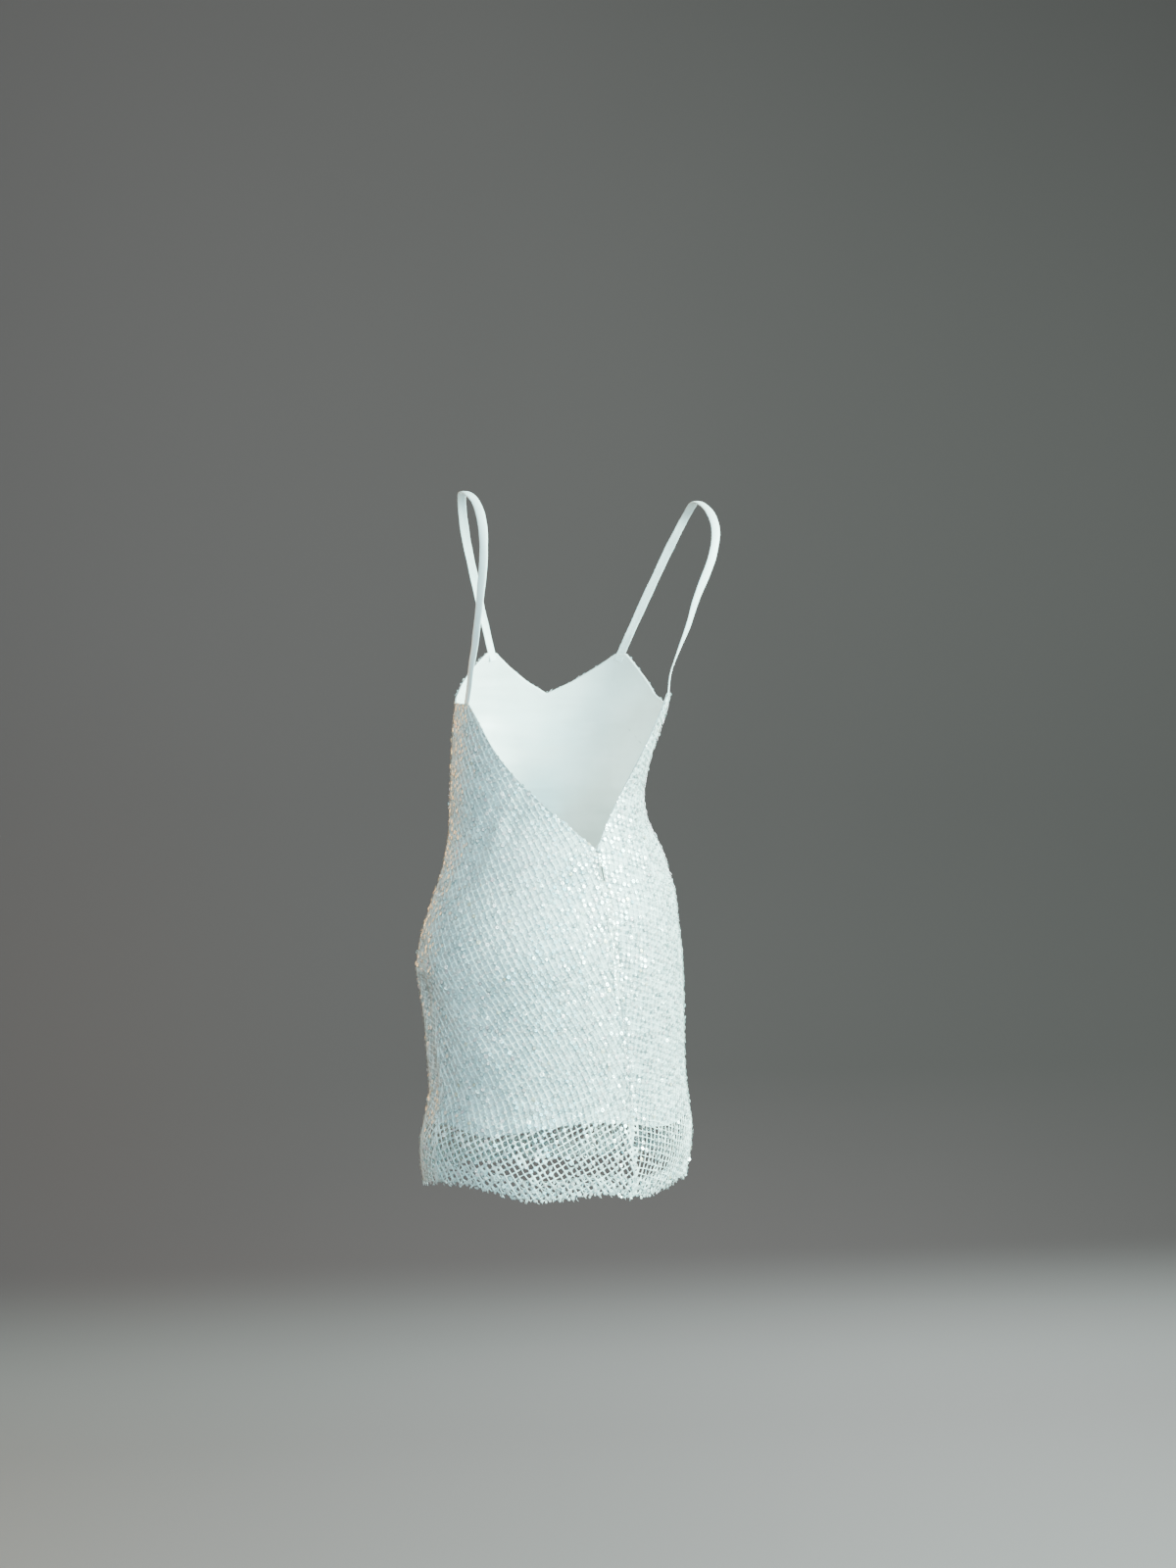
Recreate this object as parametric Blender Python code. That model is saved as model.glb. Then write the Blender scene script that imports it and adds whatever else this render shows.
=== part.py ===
"""A short slip dress of square net over a smooth lining, standing as worn.

Three net panels (front, left back, right back), three lining panels, two flat
shoulder straps, two zip tapes, a zip slider and its hanging pull tab.
Metres, +Z up.  The origin lies midway between the undersides of the two
straps where they cross the shoulders; the front of the dress faces -Y and
the wearer's left is +X.
"""

import bpy
import numpy as np

# ---------------------------------------------------------------- cloth sizes
NET_WALL = 0.0012
LINING_WALL = 0.0010
TURNED_WALL = 0.0024
TURN_UP = 0.022
TURN_STEP = 0.004
GAP = 0.0003
COLUMNS = 52
LOWER_ROWS = 5
UPPER_ROWS = 24
LINING_TUCK = 0.0015

# ---------------------------------------------------------------- strap sizes
STRAP_WIDTH = 0.010
STRAP_THICK = 0.0015
STRAP_RINGS = 35

# ------------------------------------------------------------------ zip sizes
ZIP_SET_BACK = 0.0060
TAPE_INNER = 0.00015
TAPE_OUTER = 0.0057
TAPE_WALL = 0.0008
ZIP_END_ROW = 11
SLIDER_HEIGHT = -0.4245
PULL_TILT = 3.5
PIVOT_ALONG = -0.0012
PIVOT_OUT = 0.0023

# Level sections of the dress, lowest first.  height; half_width across the
# section; back and front depth from its middle; shift_x of the middle; turn
# in degrees of the section about the upright, counted from +X to +Y.
LEVELS = np.array([
    # height  half_width  back   front  shift_x  turn
    (-0.821,  0.170,      0.130, 0.102, 0.029,   35.0),
    (-0.801,  0.174,      0.132, 0.105, 0.029,   35.0),
    (-0.771,  0.181,      0.135, 0.108, 0.029,   34.5),
    (-0.741,  0.182,      0.134, 0.106, 0.029,   33.5),
    (-0.721,  0.177,      0.132, 0.104, 0.029,   33.0),
    (-0.696,  0.171,      0.130, 0.102, 0.028,   33.0),
    (-0.631,  0.170,      0.130, 0.100, 0.031,   32.0),
    (-0.581,  0.171,      0.130, 0.099, 0.034,   30.0),
    (-0.541,  0.172,      0.130, 0.099, 0.037,   29.0),
    (-0.501,  0.165,      0.125, 0.098, 0.036,   28.0),
    (-0.471,  0.155,      0.118, 0.097, 0.032,   25.0),
    (-0.441,  0.142,      0.111, 0.096, 0.031,   22.5),
    (-0.411,  0.132,      0.104, 0.095, 0.032,   21.0),
    (-0.381,  0.122,      0.096, 0.094, 0.037,   20.0),
    (-0.351,  0.118,      0.093, 0.095, 0.039,   18.0),
    (-0.321,  0.118,      0.094, 0.099, 0.036,   14.0),
    (-0.281,  0.122,      0.097, 0.106, 0.029,    9.0),
    (-0.245,  0.126,      0.099, 0.109, 0.022,    5.0),
    (-0.191,  0.129,      0.101, 0.104, 0.017,    2.0),
    (-0.141,  0.130,      0.100, 0.098, 0.013,    0.0),
])

# Height of the open back's edge by angle from centre back.
BACK_EDGE = np.array([
    # angle   height
    (0.0,     -0.411),
    (13.0,    -0.381),
    (26.0,    -0.354),
    (49.0,    -0.300),
    (62.0,    -0.261),
    (69.3,    -0.245),
])

# The rest of the top edge: level under the arm, up to the front strap, and
# down to a shallow V at centre front.
SIDE_EDGE = np.array([
    # angle   height
    (69.2,    -0.245),
    (76.3,    -0.245),
    (95.0,    -0.243),
    (110.0,   -0.231),
    (125.0,   -0.206),
    (138.4,   -0.181),
    (145.4,   -0.181),
    (155.0,   -0.196),
    (168.0,   -0.215),
    (180.0,   -0.229),
])

# The right back corner is worn higher: how much, where, and its half width.
CORNER_LIFT = 0.014
CORNER_ANGLE = -72.69
CORNER_WIDTH = 16.0

# Height of the net's hem round the dress.
NET_HEM = np.array([
    # angle    height
    (-180.0,   -0.797),
    (-140.0,   -0.803),
    (-110.0,   -0.798),
    (-60.0,    -0.802),
    (-28.0,    -0.803),
    (0.0,      -0.806),
    (14.0,     -0.797),
    (30.0,     -0.799),
    (47.0,     -0.797),
    (57.0,     -0.791),
    (68.0,     -0.784),
    (98.0,     -0.787),
    (125.0,    -0.794),
    (150.0,    -0.789),
    (180.0,    -0.797),
])

# Height of the lining's hem round the dress.
LINING_HEM = np.array([
    # angle    height
    (-180.0,   -0.723),
    (-140.0,   -0.727),
    (-90.0,    -0.723),
    (-44.0,    -0.727),
    (-16.0,    -0.730),
    (-3.0,     -0.723),
    (8.0,      -0.717),
    (23.0,     -0.715),
    (44.0,     -0.721),
    (64.0,     -0.726),
    (80.0,     -0.717),
    (98.0,     -0.719),
    (140.0,    -0.724),
    (180.0,    -0.723),
])

# Bust fullness, folds and waves.  Each row is a soft ridge (depth above zero)
# or trough (below zero) in the cloth: where its middle is, how its angle
# shifts for each metre of height, its half width, half length and depth.
FOLDS = np.array([
    # angle  height   lean    half_width  half_length  depth
    (142.0,  -0.266,  0.0,    24.0,       0.052,       0.011),
    (-142.0, -0.266,  0.0,    24.0,       0.052,       0.011),
    (88.0,   -0.591,  150.0,  9.0,        0.075,       -0.0028),
    (66.0,   -0.641,  170.0,  9.0,        0.080,       0.0022),
    (-84.0,  -0.591,  -140.0, 10.0,       0.070,       -0.0026),
    (-112.0, -0.631,  -120.0, 10.0,       0.085,       0.0024),
    (150.0,  -0.601,  120.0,  12.0,       0.090,       0.0022),
    (-158.0, -0.651,  -90.0,  11.0,       0.080,       -0.0024),
    (24.0,   -0.806,  0.0,    11.0,       0.050,       -0.0026),
    (44.0,   -0.806,  0.0,    11.0,       0.050,       0.0030),
    (4.0,    -0.806,  0.0,    9.0,        0.050,       0.0022),
    (-30.0,  -0.806,  0.0,    12.0,       0.055,       -0.0020),
    (112.0,  -0.806,  0.0,    13.0,       0.060,       0.0036),
    (140.0,  -0.806,  0.0,    13.0,       0.060,       -0.0030),
    (170.0,  -0.806,  0.0,    14.0,       0.060,       0.0034),
    (-150.0, -0.806,  0.0,    13.0,       0.060,       -0.0032),
    (-118.0, -0.806,  0.0,    13.0,       0.060,       0.0036),
])

# Each strap's middle line from its root at the back to its root at the front:
# x, y, z and the way its face looks (azimuth from +X to +Y, elevation up).
LEFT_STRAP = np.array([
    # x       y        z        azimuth  elevation
    (0.1345,  0.0560,  -0.206,  34.0,    0.0),
    (0.1290,  0.0680,  -0.161,  44.0,    2.0),
    (0.1245,  0.0715,  -0.116,  56.0,    6.0),
    (0.1205,  0.0660,  -0.071,  68.0,    16.0),
    (0.1210,  0.0540,  -0.037,  76.0,    30.0),
    (0.1270,  0.0320,  -0.009,  82.0,    52.0),
    (0.1385,  0.0000,  0.0045,  90.0,    86.0),
    (0.1370,  -0.0320, -0.010,  276.0,   52.0),
    (0.1310,  -0.0540, -0.042,  280.0,   28.0),
    (0.1200,  -0.0680, -0.088,  286.0,   14.0),
    (0.1090,  -0.0755, -0.134,  294.0,   6.0),
])

RIGHT_STRAP = np.array([
    # x       y        z        azimuth  elevation
    (-0.1025, 0.0340,  -0.206,  166.0,   0.0),
    (-0.1170, 0.0510,  -0.161,  142.0,   2.0),
    (-0.1300, 0.0600,  -0.116,  122.0,   6.0),
    (-0.1470, 0.0590,  -0.071,  108.0,   16.0),
    (-0.1525, 0.0490,  -0.039,  98.0,    30.0),
    (-0.1475, 0.0300,  -0.015,  94.0,    52.0),
    (-0.1380, 0.0000,  -0.003,  90.0,    86.0),
    (-0.1330, -0.0320, -0.015,  264.0,   52.0),
    (-0.1195, -0.0540, -0.046,  260.0,   28.0),
    (-0.1005, -0.0690, -0.090,  254.0,   14.0),
    (-0.0808, -0.0775, -0.135,  246.0,   6.0),
])


def curve(value, marks, amounts):
    """Smooth curve through the marks: cubic pieces with centred slopes."""
    value = np.clip(value, marks[0], marks[-1])
    slopes = np.gradient(amounts, marks)
    at = np.clip(np.searchsorted(marks, value) - 1, 0, len(marks) - 2)
    span = marks[at + 1] - marks[at]
    u = (value - marks[at]) / span
    rise = (3.0 - 2.0 * u) * u * u
    leave = u * (1.0 - u) ** 2 * span * slopes[at]
    arrive = u * u * (u - 1.0) * span * slopes[at + 1]
    return amounts[at] * (1.0 - rise) + amounts[at + 1] * rise + leave + arrive


def wrap(angle):
    """Angle brought between -180 and 180 degrees."""
    return (np.asarray(angle) + 180.0) % 360.0 - 180.0


def fold_push(angle, height):
    """Outward push of all the folds at this angle and height."""
    push = np.zeros(np.broadcast(angle, height).shape)
    for middle, level, lean, wide, long, depth in FOLDS:
        across = wrap(angle - middle - lean * (height - level)) / wide
        up = (height - level) / long
        push = push + depth * np.exp(-across * across - up * up)
    return push


def dress_point(angle, height):
    """Point of the net's outer face; angle runs from centre back to the left."""
    half, back, front, shift, turn = (
        curve(height, LEVELS[:, 0], LEVELS[:, k]) for k in range(1, 6))
    turn = np.radians(turn)
    side = np.sin(np.radians(angle))
    fore = np.cos(np.radians(angle))
    deep = np.where(fore > 0.0, back, front)
    face = np.hypot(side / half, fore / deep)
    push = fold_push(angle, height) / face
    x = half * side + push * side / half
    y = deep * fore + push * fore / deep
    return np.stack([
        x * np.cos(turn) - y * np.sin(turn) + shift,
        x * np.sin(turn) + y * np.cos(turn),
        height + 0.0 * x], axis=-1)


def unit(vectors):
    """Vectors brought to length one."""
    return vectors / np.linalg.norm(vectors, axis=-1, keepdims=True)


def outward(angle, height):
    """Outward unit normal of the net's outer face."""
    turning = dress_point(angle + 0.2, height) - dress_point(angle - 0.2, height)
    rising = dress_point(angle, height + 0.0005) - dress_point(angle, height - 0.0005)
    return unit(np.cross(rising, turning))


def top_edge(angle):
    """Height of the dress's top edge at this angle."""
    off = np.abs(wrap(angle))
    back = curve(off, BACK_EDGE[:, 0], BACK_EDGE[:, 1])
    side = np.interp(off, SIDE_EDGE[:, 0], SIDE_EDGE[:, 1])
    lift = CORNER_LIFT * np.exp(-(wrap(angle - CORNER_ANGLE) / CORNER_WIDTH) ** 2)
    return np.where(off < BACK_EDGE[-1, 0], back, side) + lift


def row_heights(angle):
    """Heights of every row of the grid: hem, turned hem, lining hem, top edge."""
    hem = curve(wrap(angle), NET_HEM[:, 0], NET_HEM[:, 1])
    lining = curve(wrap(angle), LINING_HEM[:, 0], LINING_HEM[:, 1])
    turned = hem + TURN_UP
    stepped = turned + TURN_STEP
    rows = [hem, hem + 0.5 * TURN_UP, turned, stepped, 0.5 * (stepped + lining)]
    share = np.arange(UPPER_ROWS + 1) / UPPER_ROWS
    rows += [lining + (top_edge(angle) - lining) * s for s in share]
    return np.array(rows)


ANGLES = -90.0 + np.arange(COLUMNS + 1) * 360.0 / COLUMNS
HEIGHTS = row_heights(ANGLES)
GRID = dress_point(ANGLES[None, :] + 0.0 * HEIGHTS, HEIGHTS)
FACING = outward(ANGLES[None, :] + 0.0 * HEIGHTS, HEIGHTS)
FACING[-1, :, 2] = 0.0
FACING[-1] = unit(FACING[-1])
QUARTER = COLUMNS // 4
ALL_ROWS = LOWER_ROWS + UPPER_ROWS + 1


def column_of(angle):
    """Grid column at this angle."""
    return int(round((angle + 90.0) * COLUMNS / 360.0)) % COLUMNS


def layer(first, last, rows, depth, inset_first, inset_last):
    """Grid points moved inward by depth, their two outer columns moved inward
    along the rows by the insets, which are lengths, one for each row."""
    base = GRID[rows, first:last + 1]
    moved = base - np.reshape(depth, (-1, 1, 1)) * FACING[rows, first:last + 1]
    points = moved.copy()
    start = np.linalg.norm(base[:, 1] - base[:, 0], axis=1)
    end = np.linalg.norm(base[:, -1] - base[:, -2], axis=1)
    share = np.reshape(inset_first / start, (-1, 1))
    points[:, 0] = moved[:, 0] + share * (moved[:, 1] - moved[:, 0])
    share = np.reshape(inset_last / end, (-1, 1))
    points[:, -1] = moved[:, -1] + share * (moved[:, -2] - moved[:, -1])
    return points


def add_object(name, points, faces, colour, rough, metal=0.0):
    """One named solid with its own material."""
    mesh = bpy.data.meshes.new(name)
    mesh.from_pydata([tuple(p) for p in points], [], faces)
    mesh.validate()
    mesh.update()
    made = bpy.data.objects.new(name, mesh)
    bpy.context.scene.collection.objects.link(made)
    material = bpy.data.materials.new(name + "_material")
    material.use_nodes = True
    shader = material.node_tree.nodes["Principled BSDF"]
    shader.inputs["Base Color"].default_value = (*colour, 1.0)
    shader.inputs["Roughness"].default_value = rough
    shader.inputs["Metallic"].default_value = metal
    mesh.materials.append(material)
    return made


def slab(name, outer, inner, colour, rough):
    """Closed cloth wall between two grids of the same shape."""
    rows, columns = outer.shape[:2]
    count = rows * columns
    points = np.concatenate([outer.reshape(-1, 3), inner.reshape(-1, 3)])
    faces = []
    for i in range(rows - 1):
        for j in range(columns - 1):
            a = i * columns + j
            b = a + 1
            c = b + columns
            d = a + columns
            faces.append((a, c, b))
            faces.append((a, d, c))
            faces.append((a + count, b + count, c + count))
            faces.append((a + count, c + count, d + count))
    rim = [j for j in range(columns)]
    rim += [i * columns + columns - 1 for i in range(1, rows)]
    rim += [(rows - 1) * columns + j for j in range(columns - 2, -1, -1)]
    rim += [i * columns for i in range(rows - 2, 0, -1)]
    for k, here in enumerate(rim):
        there = rim[(k + 1) % len(rim)]
        faces.append((here, there, there + count))
        faces.append((here, there + count, here + count))
    return add_object(name, points, faces, colour, rough)


def net_panel(name, first, last):
    """A net panel from hem to top edge, thicker where the hem is turned up."""
    rows = np.arange(ALL_ROWS)
    wall = np.where(rows < 3, TURNED_WALL, NET_WALL)
    outer = layer(first, last, rows, 0.0 * wall, GAP / 2, GAP / 2)
    inner = layer(first, last, rows, wall, GAP / 2, GAP / 2)
    return slab(name, outer, inner, (0.86, 0.90, 0.88), 0.45)


def lining_panel(name, first, last, zip_first=False, zip_last=False):
    """A lining panel just inside the net; its zip edge is set back above the
    zip's end, and its top edge is tucked a little below the net's."""
    rows = np.arange(LOWER_ROWS, ALL_ROWS)
    seam = np.full(len(rows), GAP / 2)
    opened = np.where(rows >= LOWER_ROWS + ZIP_END_ROW, ZIP_SET_BACK, GAP / 2)
    edges = (opened if zip_first else seam, opened if zip_last else seam)
    near = NET_WALL + GAP
    outer = layer(first, last, rows, np.full(len(rows), near), *edges)
    inner = layer(first, last, rows, np.full(len(rows), near + LINING_WALL), *edges)
    for grid in (outer, inner):
        drop = grid[-2] - grid[-1]
        grid[-1] += drop * LINING_TUCK / np.linalg.norm(drop, axis=-1, keepdims=True)
    return slab(name, outer, inner, (0.88, 0.88, 0.84), 0.35)


def zip_tape(name, side):
    """Half of the zip's tape beside centre back, in the lining's layer."""
    middle = QUARTER
    rows = np.arange(LOWER_ROWS + ZIP_END_ROW, ALL_ROWS)
    start = GRID[rows, middle]
    length = np.linalg.norm(GRID[rows, middle + side] - start, axis=1)
    near, far = TAPE_INNER / length, TAPE_OUTER / length
    faces = []
    for depth in (NET_WALL + GAP, NET_WALL + GAP + TAPE_WALL):
        seam = start - depth * FACING[rows, middle]
        away = GRID[rows, middle + side] - depth * FACING[rows, middle + side]
        pair = [seam + share[:, None] * (away - seam) for share in (near, far)]
        if side < 0:
            pair.reverse()
        grid = np.stack(pair, axis=1)
        drop = grid[-2] - grid[-1]
        grid[-1] += drop * LINING_TUCK / np.linalg.norm(drop, axis=-1, keepdims=True)
        faces.append(grid)
    return slab(name, faces[0], faces[1], (0.84, 0.85, 0.82), 0.7)


def strap_root(side, angle_low, angle_high):
    """Middle of a strap's root on the level edge and the way the edge faces."""
    low, high = column_of(side * angle_low), column_of(side * angle_high)
    depth = 0.5 * (NET_WALL + GAP + LINING_WALL)
    ends = GRID[-1, [low, high]] - depth * FACING[-1, [low, high]]
    middle = ends.mean(axis=0)
    middle[2] = GRID[-1, low, 2] + GAP
    face = FACING[-1, [low, high]].sum(axis=0)
    return middle, np.degrees(np.arctan2(face[1], face[0]))


def strap(name, side, table):
    """Flat strap swept from its back root over the shoulder to its front root."""
    start, start_way = strap_root(side, 69.2, 76.2)
    end, end_way = strap_root(side, 138.5, 145.4)
    line = np.vstack([start, table[:, :3], end])
    ways = np.concatenate([[start_way], table[:, 3], [end_way]])
    tips = np.concatenate([[0.0], table[:, 4], [0.0]])
    ways = np.degrees(np.unwrap(np.radians(ways)))
    faces = np.stack([
        np.cos(np.radians(ways)) * np.cos(np.radians(tips)),
        np.sin(np.radians(ways)) * np.cos(np.radians(tips)),
        np.sin(np.radians(tips))], axis=-1)
    marks = np.concatenate([[0.0], np.cumsum(np.linalg.norm(np.diff(line, axis=0), axis=1))])
    at = np.linspace(0.0, marks[-1], STRAP_RINGS)
    middle = np.stack([curve(at, marks, line[:, k]) for k in range(3)], axis=-1)
    face = np.stack([curve(at, marks, faces[:, k]) for k in range(3)], axis=-1)
    tangent = unit(np.gradient(middle, axis=0))
    tangent[0] = (0.0, 0.0, 1.0)
    tangent[-1] = (0.0, 0.0, -1.0)
    face = unit(face - tangent * (face * tangent).sum(axis=1, keepdims=True))
    across = np.cross(tangent, face) * STRAP_WIDTH / 2
    thick = face * STRAP_THICK / 2
    outer = np.stack([middle + across + thick, middle - across + thick], axis=1)
    inner = np.stack([middle + across - thick, middle - across - thick], axis=1)
    return slab(name, outer, inner, (0.88, 0.90, 0.88), 0.4)


def blocks(name, cuts, filled, place, colour, rough, metal=0.0):
    """Closed solid of the filled cells between the cuts; place maps each corner."""
    corners = {}
    faces = []
    sides = [
        ((1, 0, 0), [(1, 0, 0), (1, 1, 0), (1, 1, 1), (1, 0, 1)]),
        ((-1, 0, 0), [(0, 0, 0), (0, 0, 1), (0, 1, 1), (0, 1, 0)]),
        ((0, 1, 0), [(0, 1, 0), (0, 1, 1), (1, 1, 1), (1, 1, 0)]),
        ((0, -1, 0), [(0, 0, 0), (1, 0, 0), (1, 0, 1), (0, 0, 1)]),
        ((0, 0, 1), [(0, 0, 1), (1, 0, 1), (1, 1, 1), (0, 1, 1)]),
        ((0, 0, -1), [(0, 0, 0), (0, 1, 0), (1, 1, 0), (1, 0, 0)]),
    ]
    for cell in filled:
        for way, square in sides:
            beside = tuple(c + w for c, w in zip(cell, way))
            if beside in filled:
                continue
            keys = [tuple(c + s for c, s in zip(cell, step)) for step in square]
            ring = [corners.setdefault(key, len(corners)) for key in keys]
            faces.append((ring[0], ring[1], ring[2]))
            faces.append((ring[0], ring[2], ring[3]))
    points = [place(*(cuts[k][key[k]] for k in range(3))) for key in corners]
    return add_object(name, points, faces, colour, rough, metal)


def zip_frame():
    """Middle point and the across, up and out ways of the cloth at the slider."""
    column = GRID[:, QUARTER]
    upper = int(np.searchsorted(column[:, 2], SLIDER_HEIGHT))
    low, high = column[upper - 1], column[upper]
    share = (SLIDER_HEIGHT - low[2]) / (high[2] - low[2])
    up = unit(high - low)
    out = FACING[upper - 1, QUARTER]
    out = unit(out - up * np.dot(out, up))
    return low + share * (high - low), np.cross(up, out), up, out


def zip_slider():
    """Slider plate with a raised bridge, open from side to side beneath it."""
    base, across, up, out = zip_frame()
    cuts_across = (-0.0020, -0.0006, 0.0006, 0.0020)
    cuts_up = (-0.0036, -0.0029, -0.0020, -0.0010, 0.0, 0.0010, 0.0020, 0.0029, 0.0036)
    cuts_out = (0.0004, 0.0014, 0.0033, 0.0042)
    filled = {(i, j, 0) for i in range(3) for j in range(8)}
    filled |= {(1, 1, 1), (1, 6, 1)}
    filled |= {(1, j, 2) for j in range(1, 7)}

    def place(a, u, o):
        if o > 0.0015:
            o = 0.0014 + (o - 0.0014) * (1.0 - 0.28 * (u / 0.0029) ** 2)
        a = a * (1.0 - 0.15 * (u / 0.0036) ** 2)
        return base + a * across + u * up + o * out

    cuts = (cuts_across, cuts_up, cuts_out)
    return blocks("zip_slider", cuts, filled, place, (0.80, 0.81, 0.80), 0.35, 0.6)


def zip_pull():
    """Thin pull tab whose eye hangs on the slider's bridge."""
    base, across, up, out = zip_frame()
    pivot = base + PIVOT_ALONG * up + PIVOT_OUT * out
    lean = np.radians(PULL_TILT)
    along = up * np.cos(lean) + out * np.sin(lean)
    away = out * np.cos(lean) - up * np.sin(lean)
    cuts_across = (-0.0019, -0.0010, 0.0010, 0.0019)
    cuts_along = (-0.0215, -0.0205, -0.0180, -0.0140, -0.0100, -0.0060, -0.0030,
                  -0.00045, 0.00045)
    cuts_out = (-0.00045, 0.00045)
    filled = {(i, j, 0) for i in range(3) for j in range(8) if (i, j) != (1, 6)}
    widths = {-0.0215: 0.62, -0.0205: 0.90, -0.0180: 1.0, -0.0140: 0.94,
              -0.0100: 0.84, -0.0060: 0.84, -0.0030: 1.0}

    def place(a, u, o):
        a = a * widths.get(u, 1.0)
        return pivot + a * across + u * along + o * away

    cuts = (cuts_across, cuts_along, cuts_out)
    return blocks("zip_pull", cuts, filled, place, (0.84, 0.84, 0.80), 0.4)


def build():
    """Every piece of the dress."""
    for old in list(bpy.data.objects):
        bpy.data.objects.remove(old, do_unlink=True)
    net_panel("back_right_net", 0, QUARTER)
    net_panel("back_left_net", QUARTER, 2 * QUARTER)
    net_panel("front_net", 2 * QUARTER, COLUMNS)
    lining_panel("back_right_lining", 0, QUARTER, zip_last=True)
    lining_panel("back_left_lining", QUARTER, 2 * QUARTER, zip_first=True)
    lining_panel("front_lining", 2 * QUARTER, COLUMNS)
    zip_tape("zip_tape_left", 1)
    zip_tape("zip_tape_right", -1)
    strap("strap_left", 1, LEFT_STRAP)
    strap("strap_right", -1, RIGHT_STRAP)
    zip_slider()
    zip_pull()


build()
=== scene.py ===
"""Looks of a short slip dress of sequinned square net over a satin lining."""

import math

import bpy
import numpy as np
from mathutils import Matrix


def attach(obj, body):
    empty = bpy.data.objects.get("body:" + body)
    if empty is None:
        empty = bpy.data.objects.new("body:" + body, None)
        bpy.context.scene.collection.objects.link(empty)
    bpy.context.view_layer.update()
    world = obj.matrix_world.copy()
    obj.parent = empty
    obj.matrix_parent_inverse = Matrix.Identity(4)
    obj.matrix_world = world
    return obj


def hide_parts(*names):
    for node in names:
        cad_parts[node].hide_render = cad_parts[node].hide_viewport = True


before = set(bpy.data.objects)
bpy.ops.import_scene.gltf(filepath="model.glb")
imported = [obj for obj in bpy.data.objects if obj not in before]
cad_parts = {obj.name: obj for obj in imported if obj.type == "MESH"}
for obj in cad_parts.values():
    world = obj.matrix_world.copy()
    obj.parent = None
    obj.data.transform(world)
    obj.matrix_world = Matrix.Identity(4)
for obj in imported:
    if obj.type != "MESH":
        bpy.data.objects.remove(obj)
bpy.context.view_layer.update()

# ------------------------------------------------------- sizes of the garment
GIRTH = 0.0028  # length round the dress for one degree, near enough
LINING_OUT = 0.0015
LINING_IN = 0.0025
TURN_UP = 0.022
FOLD_IN = 0.0016  # how far inside the turned-up hem lies
STRAP_WIDTH = 0.010
STRAP_THICK = 0.0015
STRAP_SEWN = 0.009  # length of strap behind each edge
STRAP_AT_BACK = (69.23, 76.15)  # angles between which a strap is sewn
STRAP_AT_FRONT = (138.46, 145.38)
ZIP_END = -0.580
ZIP_SET_BACK = 0.0060
BACK_RADIUS = 0.150
ZIP_GAP = 0.0004
GAP_START = ZIP_END - 0.045  # where the two backs begin to part
SLIDER_HEIGHT = -0.4245
PULL_TILT = 3.5
PIVOT_ALONG = -0.0012
PIVOT_OUT = 0.0023

# --------------------------------------------------------- sizes of the cloth
NET_PITCH = 0.0070
NET_COUNT = 66  # knots each way from the lattice's middle
NET_MIDDLE = -0.52
NET_WAVE = 0.0016
KNOT_STRAY = 0.00042
KNOT_OUT = -0.0001
STRAND_OUT = -0.0004
HOLE_OUT = -0.0013
HOLE_WIDE = 0.71
HOLE_LONG = 0.77
HOLE_CORNER = 0.67
BAND_HOLES = -0.715  # below it the holes take the panel's own size
BAND_EDGES = -0.705  # below it the seams' strands are wider
BAND_SEQUINS = (-0.790, -0.722)
BAND_SHARE = 0.52
SEQUIN_SHARE = 0.84
SEQUIN_RADIUS = 0.0026
SEQUIN_STRAY = 0.0008
RIM_SEQUIN = 0.72  # share of that radius along the edges
SEQUIN_PROFILE = ((0.20, 0.00), (0.62, 0.09), (1.0, 0.00))  # shares of radius, rise
RIM_STEP = 3.0  # degrees between sequins along an edge
THREAD_RADIUS = 0.00024
LINING_ROLL = np.array([(0.0000, 0.0004), (0.0006, 0.0000), (0.0012, 0.0003),
                        (0.0014, 0.0012), (0.0010, 0.0021), (0.0002, 0.0026)])  # rise, depth
LINING_TURN = np.array([(0.0002, 0.0027), (-0.0006, 0.0023), (-0.0008, 0.0020),
                        (-0.0005, 0.0016)])

# How plainly the closed line at centre back shows, painted as shadow in the net's colour:
# height and share.  Above LINE_SHOWS the sequins are kept off it.
BACK_LINE = np.array([
    (-0.700, 0.0), (-0.612, 0.0), (-0.600, 0.9), (-0.552, 0.9), (-0.545, 0.2),
    (-0.458, 0.2), (-0.454, 1.0), (-0.428, 1.0), (-0.424, 0.5), (-0.410, 0.5)])
LINE_SHOWS = 0.6

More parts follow.
